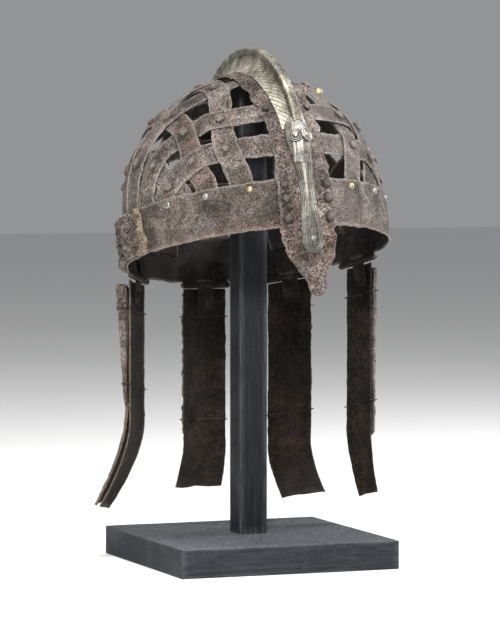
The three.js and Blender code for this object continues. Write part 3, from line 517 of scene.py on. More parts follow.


# Bronze: an olive-grey ramp, gold where a noise is high, shaded by a fine grain and dark in its
# lines. The lines are a sine of the across value bent by noise, and they lower the bump as well.
# The along value is painted shade in cuts and creases, and on the crest it also darkens the band's
# face; the edge value is the polish on ridges, and a painted highlight along the nose strip's rib.
def bronzeMaterial(name, look):
    material, tree, shader, place = newMaterial(name)
    along, across, edge = (attributeOf(tree, label) for label in ("along", "across", "edge"))
    broad = noiseNode(tree, place, 70, 5, 0.6, 0.5)
    fine = noiseNode(tree, place, 900, 5, 0.7)
    base = ramp(tree, broad, (0.36, 0.46, 0.55, 0.66), look["stains"])
    goldMask = ranged(tree, noiseNode(tree, place, 150, 5, 0.65, 0.6), 0.52, 0.68, 0, look["goldMost"])
    base = mixed(tree, goldMask, base, look["gold"])
    bend = times(tree, noiseNode(tree, place, 90, 2, 0.5), look["wander"])
    hatch = sums(tree, "SINE", sums(tree, "ADD", times(tree, across, look["lines"]), bend), 0)
    groove = times(tree, ranged(tree, hatch, 0.35, 0.95), ranged(tree, broad, 0.35, 0.6, 0.35, 1))
    base = shaded(tree, base, ranged(tree, fine, 0.4, 0.6, 0.5, 1.35))
    base = mixed(tree, times(tree, groove, look["grooveDark"]), base, look["dark"])
    base = mixed(tree, times(tree, edge, look["wear"]), base, look["worn"])
    # Painted shade from the along value: darker cuts and creases.
    base = mixed(tree, times(tree, along, 0.9), base, look["dark"])
    roughness = ranged(tree, fine, 0.35, 0.65, look["gloss"], look["gloss"] + 0.22)
    shader.inputs["Metallic"].default_value = look["metal"]
    height = sums(tree, "SUBTRACT", times(tree, fine, 0.3), times(tree, groove, look["cut"]))
    finishShader(tree, shader, base, roughness, height, look["bump"], look["depth"])
    return material


bronzeLook = {
    "stains": ((0.14, 0.13, 0.098), (0.27, 0.255, 0.2), (0.42, 0.4, 0.325), (0.6, 0.575, 0.49)),
    "gold": (0.36, 0.28, 0.14), "goldMost": 0.4, "worn": (0.56, 0.53, 0.46), "dark": (0.016, 0.014, 0.011),
    "gloss": 0.36, "lines": 6.0, "wander": 1.6, "grooveDark": 0.5, "cut": 0.9, "metal": 0.7, "wear": 0.6,
    "bump": 0.8, "depth": 0.0006,
}
noseLook = {
    **bronzeLook, "lines": 0.0, "wander": 6.0, "grooveDark": 0.1, "cut": 0.1, "goldMost": 0.1,
    "gloss": 0.4, "wear": 0.45, "worn": (0.38, 0.367, 0.33),
    "stains": ((0.05, 0.047, 0.04), (0.1, 0.096, 0.085), (0.16, 0.155, 0.139), (0.26, 0.253, 0.232)),
}
headLook = {
    **noseLook, "grooveDark": 0.2, "cut": 0.2, "goldMost": 0.15, "wear": 0.5, "worn": (0.46, 0.445, 0.4),
    "stains": ((0.07, 0.066, 0.057), (0.145, 0.139, 0.124), (0.23, 0.223, 0.202), (0.36, 0.35, 0.32)),
}
brassLook = {
    **bronzeLook, "lines": 0.0, "grooveDark": 0.1, "cut": 0.1, "worn": (0.45, 0.4, 0.28),
    "stains": ((0.14, 0.1, 0.045), (0.24, 0.18, 0.08), (0.34, 0.27, 0.13), (0.46, 0.38, 0.22)),
}
steelLook = {
    **brassLook, "gold": (0.22, 0.19, 0.16), "worn": (0.4, 0.39, 0.37),
    "stains": ((0.1, 0.094, 0.088), (0.17, 0.162, 0.152), (0.24, 0.232, 0.22), (0.36, 0.35, 0.335)),
}
crestBronze = bronzeMaterial("crestBronze", bronzeLook)
noseBronze = bronzeMaterial("noseBronze", noseLook)
headBronze = bronzeMaterial("headBronze", headLook)
brassRivet = bronzeMaterial("brassRivet", brassLook)
steelRivet = bronzeMaterial("steelRivet", steelLook)


# Painted wood: blue-grey with long faint brush lines, a fine sparkle where the brush dragged and a
# paler worn edge. The along value marks the top face, paler in swirls: pale dust and painted light
# from above.
def paintMaterial(name, look):
    material, tree, shader, place = newMaterial(name)
    stretch = newNode(tree, "ShaderNodeMapping", {"Vector": place}, {"Scale": look["stretch"]})
    brush = noiseNode(tree, stretch.outputs["Vector"], 60, 6, 0.65, 0.15)
    cloudy = noiseNode(tree, place, 22, 4, 0.6, 0.3)
    fine = noiseNode(tree, place, 2300, 3, 0.7)
    base = ramp(tree, brush, (0.3, 0.5, 0.72), (look["deep"], look["paint"], look["pale"]))
    base = mixed(tree, ranged(tree, cloudy, 0.4, 0.7, 0, 0.35), base, look["deep"])
    dusty = ranged(tree, cloudy, 0.42, 0.62, 0.05, look["dust"])
    base = mixed(tree, times(tree, ranged(tree, fine, 0.6, 0.72), dusty), base, look["dustColour"])
    # The top face is paler in swirls: dust, and painted light from above.
    swirl = ranged(tree, noiseNode(tree, place, 260, 6, 0.75, 2.5), 0.42, 0.58, 0.05, look["topDustAndLight"])
    base = mixed(tree, times(tree, attributeOf(tree, "along"), swirl), base, look["topColour"])
    rubbed = ranged(tree, brush, 0.35, 0.6, 0.1, 0.6)
    base = mixed(tree, times(tree, attributeOf(tree, "edge"), rubbed), base, look["worn"])
    roughness = ranged(tree, cloudy, 0.35, 0.65, 0.5, 0.68)
    shader.inputs["Specular IOR Level"].default_value = look["specular"]
    height = sums(tree, "ADD", brush, times(tree, fine, 0.25))
    finishShader(tree, shader, base, roughness, height, look["bump"], look["depth"])
    return material


boardLook = {
    "paint": (0.021, 0.0235, 0.0285), "deep": (0.012, 0.0138, 0.017), "pale": (0.038, 0.042, 0.05),
    "dust": 1.0, "dustColour": (0.26, 0.27, 0.29), "worn": (0.075, 0.08, 0.088), "stretch": (0.7, 9.0, 9.0),
    "topDustAndLight": 0.9, "topColour": (0.14, 0.147, 0.16), "specular": 0.1, "bump": 0.35, "depth": 0.0004,
}
# The post's paint is darker than the board's, partly as painted shade under the helmet.
postLook = {
    **boardLook, "stretch": (14.0, 14.0, 0.7), "dust": 0.3,
    "deep": (0.007, 0.0076, 0.0092), "paint": (0.0105, 0.0112, 0.0135), "pale": (0.018, 0.0192, 0.023),
}
boardPaint = paintMaterial("boardPaint", boardLook)
postPaint = paintMaterial("postPaint", postLook)

print("stage: stand")
stand = {
    "side": 176.0, "thick": 22.0, "bevel": 0.9, "wobble": 0.12, "wobbleCell": 30.0,
    "post": 22.3, "postX": 0.5, "postY": 4.5, "postBevel": 0.5, "cornerWear": 4.0, "rimWear": 2.5,
}


# A block as rings from the middle of its underside to the middle of its top: a square outline with
# round corners, scaled down to the middle over both ends and by a quarter circle at each rim.
def blockGrid(centreX, centreY, side, low, high, bevel, columns=40, rows=24, cornerSteps=4, endSteps=12):
    half = side / 2
    inner = half - bevel
    flat = np.linspace(-1, 1, columns) * inner
    arc = np.linspace(0, pi / 2, cornerSteps + 2)[1:-1]
    edgeX = np.concatenate([flat, inner + bevel * np.sin(arc)])
    edgeY = np.concatenate([flat * 0 - half, -inner - bevel * np.cos(arc)])
    ring = np.stack([edgeX, edgeY], -1)
    quarter = np.array([[0.0, -1.0], [1.0, 0.0]])
    outline = np.concatenate([ring @ np.linalg.matrix_power(quarter, k).T for k in range(4)])
    bend = np.linspace(0, pi / 2, 5)
    out = np.linspace(0, 1, endSteps) * inner
    inset = np.concatenate([half - out[:-1], bevel * (1 - np.sin(bend)), np.zeros(rows),
                            bevel * (1 - np.cos(bend)), bevel + out[1:]])
    z = np.concatenate([np.full(endSteps - 1, low), low + bevel * (1 - np.cos(bend)),
                        np.linspace(low + bevel, high - bevel, rows + 2)[1:-1],
                        high - bevel * (1 - np.sin(bend)), np.full(endSteps - 1, high)])
    scale = np.maximum(1 - inset / half, 0.001)
    x, y = (outline[:, k] * scale[:, None] for k in range(2))
    corner = np.clip(1 - (side - np.abs(outline).sum(1)) / stand["cornerWear"], 0, 1)
    rim = np.clip(1 - np.minimum(z - low, high - z) / stand["rimWear"], 0, 1)
    atSide = np.clip((scale - 0.97) / 0.03, 0, 1)
    edge = np.maximum(corner * (scale[:, None] > 0.9), (rim * atSide)[:, None])
    top = (z >= high - 0.5 * bevel) * 1.0
    return grid3(x + centreX, y + centreY, z[:, None]), edge, top[:, None]


def buildStand():
    board, edge, top = blockGrid(0, 0, stand["side"], 0.0, stand["thick"], stand["bevel"])
    wobble = stand["wobble"] * softNoise(board, stand["wobbleCell"], 3)
    board[..., :2] *= (1 + wobble / stand["side"])[..., None]
    piece = Piece("standBoard")
    piece.add(board, along=top, edge=edge)
    piece.build(boardPaint, root, ["stand_base"])
    low, high = (corner.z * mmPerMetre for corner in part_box("stand_post"))
    place = (stand["postX"], stand["postY"])
    post, edge, top = blockGrid(*place, stand["post"], low, high, stand["postBevel"], 16, 60)
    piece = Piece("standPost")
    piece.add(post, along=top, edge=edge)
    piece.build(postPaint, root, ["stand_post"])


buildStand()

print("stage: brow band")
band = {
    "rough": 0.28, "cell": 3.2, "underside": 40, "edgeRag": 0.7, "ragRoom": 0.6, "turns": 620, "face": 34,
    "rivet": 2.6, "rivetRise": 1.7, "rivetDrop": 5.5, "rivetTurns": (23, 42, 61, 87, 108.6, 127, 146, 158.5),
    "brassTurns": (-23, 23), "lone": (52.0, 52.5), "loneWide": 0.95, "loneHigh": 1.5,
}


# A bar's section carried round the oval wall; its edges wander up and down by noise.
def buildBand():
    half = shell["band"] / 2
    across, depth, edge = barSection(half, shell["bandThick"], band["face"])
    turn = np.linspace(0, 360, band["turns"], endpoint=False)
    base = wallPoint(turn, 0 * turn)
    lift = across / half
    height = half + across
    topRag, footRag = roughNoise(base, 7.0, 3, 11)[:, None], roughNoise(base, 9.0, 3, 17)[:, None]
    rag = topRag * np.clip(lift, 0, 1) + footRag * np.clip(-lift, 0, 1)
    flat = grid3(base[:, None, 0], base[:, None, 1], height)
    bump = band["rough"] * faceNoise(flat, depth, band["underside"], band["cell"], 3, 21)
    flat[..., 2] = np.minimum(height + band["edgeRag"] * rag, shell["band"] + band["ragRoom"])
    points = onShell(flat, -shell["bandThick"] / 2 + depth + bump * (depth >= 0))
    rusty = 0.9 * np.clip(-lift - 0.35, 0, 0.65)
    piece = Piece("browBand")
    # Painted shade: along darkens the band's inner face.
    piece.add(onStand(points), along=(depth < 0) * 1.0, across=rusty, edge=edge, closed=True)
    piece.build(bandIron, root, ["brow_band"])


buildBand()

print("stage: lattice")
lattice = {
    "width": 19.0, "thick": 1.3, "cross": 0.45, "tuck": 14.0, "margin": 1.8, "step": 0.95, "face": 17,
    "rag": 0.7, "ragCell": 6.0, "rough": 0.24, "cell": 3.0, "underside": 50.0, "rivet": 3.8, "rivetRise": 2.6,
    "underStrap": 22.0,
}
outerLevel = -(shell["bandThick"] + shell["gap"])
innerLevel = outerLevel - lattice["thick"] - lattice["cross"]

# Strips from front to back, then from side to side: degrees round the head, degrees up the dome.
longRoutes = [
    [(27, 0), (33, 19), (35, 34), (40, 54), (90, 69), (141, 54), (147, 34), (151, 19), (158.5, 0)],
    [(43, 0), (49, 14), (56, 32), (90, 45), (124, 32), (136, 14), (146, 0)],
    [(56, 0), (62, 6), (73, 18), (90, 21), (107, 18), (121, 6), (127, 0)],
]
crossRoutes = [
    [(0, 16.5), (15, 16), (41, 16), (55, 10), (65, 0)],
    [(0, 34), (22, 33), (45, 32), (64, 24), (73, 12), (76, 0)],
    [(0, 60), (43, 58), (60, 48), (76, 36), (84, 20), (87, 0)],
    [(0, 86), (84, 65), (96, 44), (97, 20), (97.8, 0)],
    [(180, 65), (132, 50), (117, 33), (110, 16), (108.6, 0)],
    [(180, 41), (155, 40), (134, 30), (123, 14), (119.5, 0)],
    [(180, 19), (165, 18.5), (151, 12), (138.5, 0)],
]
weave = ["oioioio", "ioioiio", "iiiiiii"]    # o where the long strip passes outside
redOnes = {"long_strip_right_2", "cross_strip_4", "long_strip_left_3", "cross_strip_6"}


# Centripetal Catmull-Rom through the points: knots stand apart by the root of their distance.
def smoothLine(points, perSpan=60):
    p = np.concatenate([[2 * points[0] - points[1]], points, [2 * points[-1] - points[-2]]])
    gap = np.sqrt(np.linalg.norm(np.diff(p, axis=0), axis=1))
    knots = np.concatenate([[0], np.cumsum(gap)])
    pieces = []
    for k in range(1, len(p) - 2):
        t0, t1, t2, t3 = knots[k - 1:k + 3]
        t = np.linspace(t1, t2, perSpan, endpoint=False)[:, None]
        a1 = ((t1 - t) * p[k - 1] + (t - t0) * p[k]) / (t1 - t0)
        a2 = ((t2 - t) * p[k] + (t - t1) * p[k + 1]) / (t2 - t1)
        a3 = ((t3 - t) * p[k + 1] + (t - t2) * p[k + 2]) / (t3 - t2)
        b1 = ((t2 - t) * a1 + (t - t0) * a2) / (t2 - t0)
        b2 = ((t3 - t) * a2 + (t - t1) * a3) / (t3 - t1)
        pieces.append(((t2 - t) * b1 + (t - t1) * b2) / (t2 - t1))
    return np.concatenate(pieces + [points[-1:]])


# The same line at even steps of length.
def evenly(line, count):
    lengths = np.concatenate([[0], np.cumsum(np.linalg.norm(np.diff(line, axis=0), axis=1))])
    want = np.linspace(0, lengths[-1], count)
    return np.stack([np.interp(want, lengths, line[:, k]) for k in range(3)], -1), want


# A strip's middle line: a smooth line through its route with both tails down behind the band,
# dropped onto the shell.
def stripLine(route):
    tail = shell["band"] - lattice["tuck"]
    turns, climbs = np.array(route, float).T
    start, end = (wallPoint(turn, [tail]) for turn in (turns[:1], turns[-1:]))
    line = smoothLine(np.concatenate([start, domePoint(turns, climbs), end]))
    length = np.linalg.norm(np.diff(line, axis=0), axis=1).sum()
    line, lengths = evenly(onShell(line), int(length / lattice["step"]))
    return onShell(line), lengths


def routeMirrored(route):
    return [(-turn, climb) for turn, climb in route]


# All strips, with the levels that they keep at each crossing, and a rivet on the outer one.
def layStrips():
    strips = []
    for side, flip in (("right", True), ("left", False)):
        for order, route in enumerate(longRoutes):
            line, lengths = stripLine(routeMirrored(route) if flip else route)
            node = f"long_strip_{side}_{order + 1}"
            strips.append({"node": node, "order": order, "line": line, "lengths": lengths})
    for order, route in enumerate(crossRoutes):
        line, lengths = stripLine(routeMirrored(route)[::-1] + route[1:])
        node = f"cross_strip_{order + 1}"
        strips.append({"node": node, "order": order, "line": line, "lengths": lengths})
    for strip in strips:
        strip["stops"], strip["rivets"] = [], []
        strip["way"] = unit(np.gradient(strip["line"], axis=0))
    longOnes, crossOnes = strips[:-len(crossRoutes)], strips[-len(crossRoutes):]
    for one in longOnes:
        for two in crossOnes:
            apart = np.linalg.norm(one["line"][:, None] - two["line"][None], axis=-1)
            i, j = np.unravel_index(apart.argmin(), apart.shape)
            if apart[i, j] > lattice["width"] / 4:
                continue
            cosine = abs(float(one["way"][i] @ two["way"][j]))
            half = lattice["width"] / 2 * (1 + cosine) / np.sqrt(1 - cosine**2) + lattice["margin"]
            over = weave[one["order"]][two["order"]] == "o"
            one["stops"].append((one["lengths"][i], half, outerLevel if over else innerLevel))
            two["stops"].append((two["lengths"][j], half, innerLevel if over else outerLevel))
            (one if over else two)["rivets"].append(one["line"][i])
    for strip in crossOnes:
        strip["stops"].append((strip["lengths"][-1] / 2, lattice["underStrap"], outerLevel))
    return strips


# The strip's level along its length: flat over each crossing, a straight slope in between.
def levelsOf(strip, least=0.01):
    places, levels = [], []
    for length, half, level in sorted(strip["stops"]):
        low, high = length - half, length + half
        if places and low < places[-1]:
            low = places[-1] + least
        places += [low, max(high, low + least)]
        levels += [level, level]
    return np.interp(strip["lengths"], places, levels)


# A flat bar bent along the strip's line, its width laid on the shell, its edges nibbled by noise.
def stripGrid(strip, seed):
    half = lattice["width"] / 2
    across, depth, edge = barSection(half, lattice["thick"], lattice["face"], 3)
    line = strip["line"]
    side = unit(np.cross(shellNormal(line), strip["way"]))
    nibble = edgeNoise(line, across, lattice["ragCell"], 3, ((3.1, seed), (71.0, seed + 1)))
    wide = across * (1 + lattice["rag"] * nibble / half)
    p = line[:, None] + side[:, None] * wide[..., None]
    level = levelsOf(strip)[:, None] - lattice["thick"] / 2 + depth
    bump = lattice["rough"] * faceNoise(p, depth, lattice["underside"], lattice["cell"], 3, seed + 2)
    return onShell(p, level + bump), edge, (depth < 0) * 1.0


def buildLattice():
    for k, strip in enumerate(layStrips()):
        points, edge, inside = stripGrid(strip, 100 + 7 * k)
        piece = Piece(strip["node"] + "_old")
        # Painted shade: along darkens the strip's inner face.
        piece.add(onStand(points), along=inside, edge=edge)
        for n, place in enumerate(strip["rivets"]):
            grow = 0.88 + 0.3 * abs(sin(7.3 * n + 2.1 * k))
            rivet = shellRivet(place, outerLevel - shell["sink"], lattice["rivet"] * grow,
                               lattice["rivetRise"] * grow, 300 + 10 * k + n, 0.1)
            crown = crownOf(rivet)
            # Painted shade and rust round the rivet's foot, wear on its crown.
            piece.add(rivet, along=0.7 * (1 - crown), across=0.5 * (1 - crown), edge=0.9 * crown)
        piece.build(redIron if strip["node"] in redOnes else latticeIron, root, [strip["node"]])


buildLattice()

print("stage: ridge strap and nasal")
strap = {
    "width": 44.0, "thick": 1.8, "shift": -1.0, "stepFrom": 2.5, "stepTo": 9.0, "slack": 0.15, "nasal": 54.0,
    "rag": 2.2, "ragCell": 8.0, "rough": 0.95, "cell": 2.8, "hollow": 0.8, "face": 50,
    "curl": 4.0, "curlAt": 45.0, "curlWide": 4.5, "curlFrom": 10, "curlTo": 22,
    "depths": (0, 0.2, 0.34, 0.46, 0.6, 0.78, 0.94, 1),
    "widths": (1, 0.97, 0.88, 0.81, 0.58, 0.38, 0.22, 0.1),
    "rivet": 3.7, "rivetRise": 3.4, "rivetIn": 1.5, "upperRivet": 0.75,
    "wallRivets": ((0, 0.16), (0, 0.57), (0, 0.87), (180, 0.22), (180, 0.76)),
}
strapLow = outerLevel + shell["gap"] + strap["slack"]


# The strap's underside steps in from the band's face to the strips' as it climbs past the band.
def strapLevel(climb):
    return shell["gap"] + (strapLow - shell["gap"]) * stepBetween(climb, strap["stepFrom"], strap["stepTo"])


# Middle line from the nasal's tip up the wall, over the dome and down to the back rim, with the
# strap's level, its share of the full half width and the degrees over the head.
def strapLine():
    drop = np.linspace(-strap["nasal"], 0, 62)[:-1]
    wall = np.linspace(0, shell["band"], 40)[:-1]
    angle = np.linspace(0, 180, 330)
    back = np.linspace(shell["band"], 0, 40)[1:]
    line = np.concatenate([wallPoint(0 * drop, drop), wallPoint(0 * wall, wall), ridgePoint(angle),
                           wallPoint(0 * back + 180, back)])
    climb = np.concatenate([0 * drop, 0 * wall, np.minimum(angle, 180 - angle), 0 * back])
    nasal = np.interp(-drop / strap["nasal"], strap["depths"], strap["widths"])
    share = np.concatenate([nasal, np.ones(len(wall) + len(angle) + len(back))])
    angles = np.concatenate([0 * drop - 1, 0 * wall, angle, 0 * back + 180])
    return line, strapLevel(climb), share, angles


# Points across the ridge: the middle line's place and height, with x measured from the strap's middle.
def acrossRidge(line, x):
    return grid3(strap["shift"] + x, line[..., 1], line[..., 2])


# A bar's section carried along the middle line: its edges are torn by noise, its face is crumbled,
# and a lip on the wearer's left curls up off the dome as a bell curve.
def buildStrap():
    half = strap["width"] / 2
    across, depth, edge = barSection(half, strap["thick"], strap["face"])
    line, level, share, angles = strapLine()
    rag = edgeNoise(line, across, strap["ragCell"], 4, ((0.0, 31), (90.0, 37)))
    x = across * share[:, None] + np.sign(across) * rag * strap["rag"] * np.abs(across) / half
    p = acrossRidge(line[:, None], x)
    thin = 1 - 0.5 * edge * np.clip(roughNoise(p, 5.0, 2, 41), 0, 1)
    bump = strap["rough"] * roughNoise(p, strap["cell"], 4, 43) * (depth >= 0)
    lip = stepBetween(across, strap["curlFrom"], strap["curlTo"]) ** 2
    curl = strap["curl"] * hump(angles[:, None], strap["curlAt"], strap["curlWide"]) * lip
    curl = curl * (1 + 0.8 * roughNoise(p, 3.0, 2, 47))
    lift = level[:, None] + strap["thick"] / 2 + depth * thin + np.maximum(bump, -strap["hollow"]) + curl
    piece = Piece("ridgeStrap")
    rusty = 0.5 * (angles < 0)[:, None]
    # Painted shade: along darkens the strap's underside.
    piece.add(onStand(onShell(p, lift)), along=(depth < 0) * 1.0, across=rusty, edge=edge * 0.7)
    piece.build(crumblyIron, root, ["ridge_strap"])
    piece = Piece("strapRivets")
    side = half - strap["rivet"] - strap["rivetIn"]
    seats = [(wallPoint([turn], [up * shell["band"]])[0], shell["gap"], 1)
             for turn, up in strap["wallRivets"]]
    seats += [(domePoint(*route[0]), strapLow, strap["upperRivet"]) for route in crossRoutes[1::2]]
    for n, (spot, low, size) in enumerate(seats):
        for flip in (-1, 1):
            spot[0] = strap["shift"] + flip * side
            grow = (0.9 + 0.22 * abs(sin(3.7 * n + flip))) * size
            rivet = shellRivet(spot, low + strap["thick"] - shell["sink"], strap["rivet"] * grow,
                               strap["rivetRise"] * grow, 500 + 5 * n + flip, 0.16)
            crown = crownOf(rivet)
            # Painted shade over the head, less towards its crown, and wear on the crown.
            piece.add(rivet, along=1 - 0.65 * crown, across=0.4, edge=0.4 * crown)
    piece.build(bandIron, root, ["ridge_strap"])


buildStrap()

print("stage: crest")
crest = {
    "width": 7.4, "waist": 6.0, "foot": 22.0, "rise": 18.5, "frontRise": 9.0, "backRise": 4.5, "band": 5.5,
    "frontClimb": 22.0, "backClimb": 14.0, "stations": 560, "bead": 0.5, "hatch": 0.12, "lines": 6.0,
    "rough": 0.05, "cell": 2.5,
}
crestSeat = strapLow + strap["thick"] + shell["gap"] + 2 * strap["slack"]
head = {
    "width": 19.5, "length": 38.0, "rise": 9.0, "climb": 16.5, "eye": 5.6, "relief": 1.15, "eyeSide": 4.1,
    "eyeTilt": 26.0, "eyeUp": 0.84, "eyeAlong": 0.0, "keel": 0.07, "brow": 0.22,
    "along": (-1, -0.6, -0.2, 0.15, 0.5, 0.8, 1), "wide": (0.78, 0.79, 0.94, 1, 0.95, 0.72, 0.4),
    "high": (0.42, 0.62, 0.86, 1, 1, 0.9, 0.6),
}
# The nose strip's values stand before the head is made, because the snout flattens to its section.
nose = {
    "width": 16.5, "thick": 1.8, "drop": 22.0, "rivet": 2.4, "rivetRise": 1.8, "groove": 0.5, "step": 1.35,
    "up": (-14, -1, 7.3, 16.5, 27.5, 36.7, 41.3, 45, 50),
    "wide": (1, 0.95, 0.83, 0.72, 0.68, 0.72, 0.8, 0.88, 0.92),
    "ties": (16.0, 32.0), "tieWide": 0.55, "tieRise": 0.45, "rib": 0.8, "ribWide": 1.5, "headGap": 0.6,
}


# The crest's height from its head in front to its end behind: a skewed half sine over low ends.
def crestHeight(share):
    climb = np.sin(pi * np.minimum(1, share / 0.9) ** 0.8)
    ends = crest["frontRise"] + (crest["backRise"] - crest["frontRise"]) * share
    return ends + (crest["rise"] - ends) * np.maximum(0, climb) ** 0.8


# One side of the section, foot to top, as rows of x, height and place: a hollow wall from a broad
# foot to a narrow waist, a beaded rim line, then an upright band whose shoulder rounds in at the top.
def crestSide(share, wallSteps=30, bandSteps=12, topSteps=9):
    rise = crestHeight(share)[:, None]
    bandDepth = np.minimum(crest["band"], 0.45 * rise)
    foot = crest["foot"] / 2 * np.minimum(np.minimum(0.94 + 0.3 * share, 1), 0.5 + 2 * (1 - share))[:, None]
    up = np.linspace(0, 1, wallSteps)
    wall = crest["waist"] / 2 + (foot - crest["waist"] / 2) * (1 - up) ** 2.1
    side = np.linspace(0, 1, bandSteps)
    beads = hump(side, 0.06, 0.06) + 0.7 * hump(side, 0.93, 0.07)
    bandX = crest["width"] / 2 - 0.25 + crest["bead"] * beads
    bandUp = rise - bandDepth + side * bandDepth * 0.82
    top = np.linspace(0, pi / 2, topSteps + 1)[1:]
    topX = (crest["width"] / 2 - 0.1) * np.cos(top) ** 0.75
    topUp = rise - bandDepth * 0.18 * (1 - np.sin(top))

    def joined(*parts):
        steps = (wallSteps, bandSteps, topSteps)
        return np.concatenate([np.broadcast_to(part, (len(share), n)) for part, n in zip(parts, steps)], 1)

    bead = joined(0.25 * stepBetween(up, 0.08, 0), 0.6 * beads, 0.0)
    # Painted shade in the creases: the wall's top under the band, and the band just above its lower bead.
    creaseShadeAndBandDark = joined(0.9 * stepBetween(up, 0.93, 0.99), 0.8 * hump(side, 0.2, 0.05), 0.0)
    x, z = joined(wall, bandX, topX), joined(up * (rise - bandDepth), bandUp, topUp)
    return x, z, joined(0.0, 1.0, 1.0), bead, creaseShadeAndBandDark


# The section carried over the head. Its lines stand across the band and sweep up along the wall; a
# sine of them cuts the band's face.
def buildCrest():
    share = np.linspace(0, 1, crest["stations"])
    angle = crest["frontClimb"] + (180 - crest["backClimb"] - crest["frontClimb"]) * share
    x, z, onBand, bead, creaseShadeAndBandDark = crestSide(share)
    length = np.radians(angle)[:, None] * shell["rise"]
    lines = np.where(onBand > 0, length, 0.2 * length + 0.48 * z - 0.05 * np.abs(x))
    wave = np.sin(crest["lines"] * lines)
    x = x + crest["hatch"] * wave * onBand * np.clip(1 - 1.6 * bead, 0, 1)
    # The band's face is darker as well, more so in its lines.
    creaseShadeAndBandDark = np.clip(creaseShadeAndBandDark + onBand * (0.25 + 0.45 * np.clip(wave, 0, 1)), 0, 1)
    halves = ((x, -1), (z, 1), (lines, 1), (bead, 1), (creaseShadeAndBandDark, 1))
    x, z, lines, bead, creaseShadeAndBandDark = (np.concatenate([sign * part, part[:, ::-1]], 1) for part, sign in halves)
    seated = onShell(acrossRidge(ridgePoint(angle)[:, None], x), crestSeat + z)
    seated[..., 0] = strap["shift"] + x
    seated += crest["rough"] * roughNoise(seated, crest["cell"], 2, 61)[..., None]
    piece = Piece("bronzeCrest")
    piece.add(onStand(seated), along=creaseShadeAndBandDark, across=lines, edge=np.clip(bead, 0, 1))
    piece.build(crestBronze, root, ["bronze_crest"])
    buildHead()


# The head's cross-section: a keeled back falling to thin edges, with a raised snout ridge.
def headLift(v):
    return 0.16 + 0.84 * (1 - np.abs(v) ** 2.2) ** 0.9 + head["keel"] * hump(v, 0, 0.13)


# Degrees over the head that a length along the ridge takes.
def climbOver(length):
    return length * 180 / (pi * shell["rise"])


# A place on the head as a point over the shell: along is -1..1 from snout to crest, v -1..1 across.
def headPoint(along, v, lift):
    line = ridgePoint(head["climb"] + climbOver(along * head["length"] / 2))
    x = v * np.interp(along, head["along"], head["wide"]) * head["width"] / 2
    return onShell(acrossRidge(line, x), crestSeat + lift)


# The head's face over its two parameters, with brow lines as a cosine of both, and the ringed eyes.
def buildHead():
    along = np.linspace(-1, 1, 130)[:, None]
    v = np.linspace(-1, 1, 71)[None]
    high = np.interp(along, head["along"], head["high"]) * head["rise"]
    onBrow = stepBetween(np.abs(v), 0.35, 0.6) * stepBetween(along, 0.75, 0.2)
    brow = head["brow"] * np.cos(2 * pi * np.abs(v) * 3.2 + 5.0 * along) * onBrow
    top = high * headLift(v) + brow * stepBetween(np.abs(v), 1, 0.9)
    snout = nose["thick"] * (1 - 0.9 * np.abs(v) ** 8) + 0.7 * hump(v, 0, 0.2)
    top += (snout - top) * stepBetween(along, -0.6, -0.97)
    lift = withUnder(np.maximum(top, 0.1))
    ridge = withUnder(0.3 * hump(v, -0.02, 0.2) + 0.5 * stepBetween(brow, 0.08, 0.2))
    # Painted shade in the troughs of the brow lines.
    cut = withUnder(0.45 * stepBetween(brow, -0.08, -0.2))
    piece = Piece("crestHead")
    points = headPoint(along, roundTrip(v, 0.96), lift)
    piece.add(onStand(points), along=cut, across=0.2 * lift, edge=np.clip(ridge, 0, 1))
    for side in (-1, 1):
        v = side * head["eyeSide"] / (head["width"] / 2)
        spot = headPoint(head["eyeAlong"], v, head["rise"] * head["eyeUp"])
        way = unit(shellNormal(spot) + np.array([side * np.tan(radians(head["eyeTilt"])), 0, 0]))
        grid, ring = eyeGrid(spot, way)
        # Painted shade in the grooves between the eye's rings, and the ridges paler.
        piece.add(onStand(grid), along=np.clip(1 - 1.3 * ring, 0, 1), edge=0.9 * ring)
    piece.build(headBronze, root, ["bronze_crest"])


# Rings round the eye: a round boss in the middle, then ridges as a cosine of the radius.
def eyeGrid(centre, normal):
    share = np.linspace(0.02, 1, 52)
    boss = np.sqrt(np.clip(1 - (share / 0.33) ** 2, 0, 1)) * 1.2
    ridges = (0.5 + 0.5 * np.cos(2 * pi * (share - 0.61) / 0.29)) * (share > 0.45) * 0.8
    height = head["relief"] * np.maximum(boss, ridges)
    share, height = np.append(share, 1.0), np.append(height, -4.0)
    radial = spokes(normal, 44)
    grid = centre + head["eye"] * share[:, None, None] * radial[None] + height[:, None, None] * normal
    return grid, stepBetween(height, 0.3, 0.8)[:, None]


buildCrest()

print("stage: nose strip")


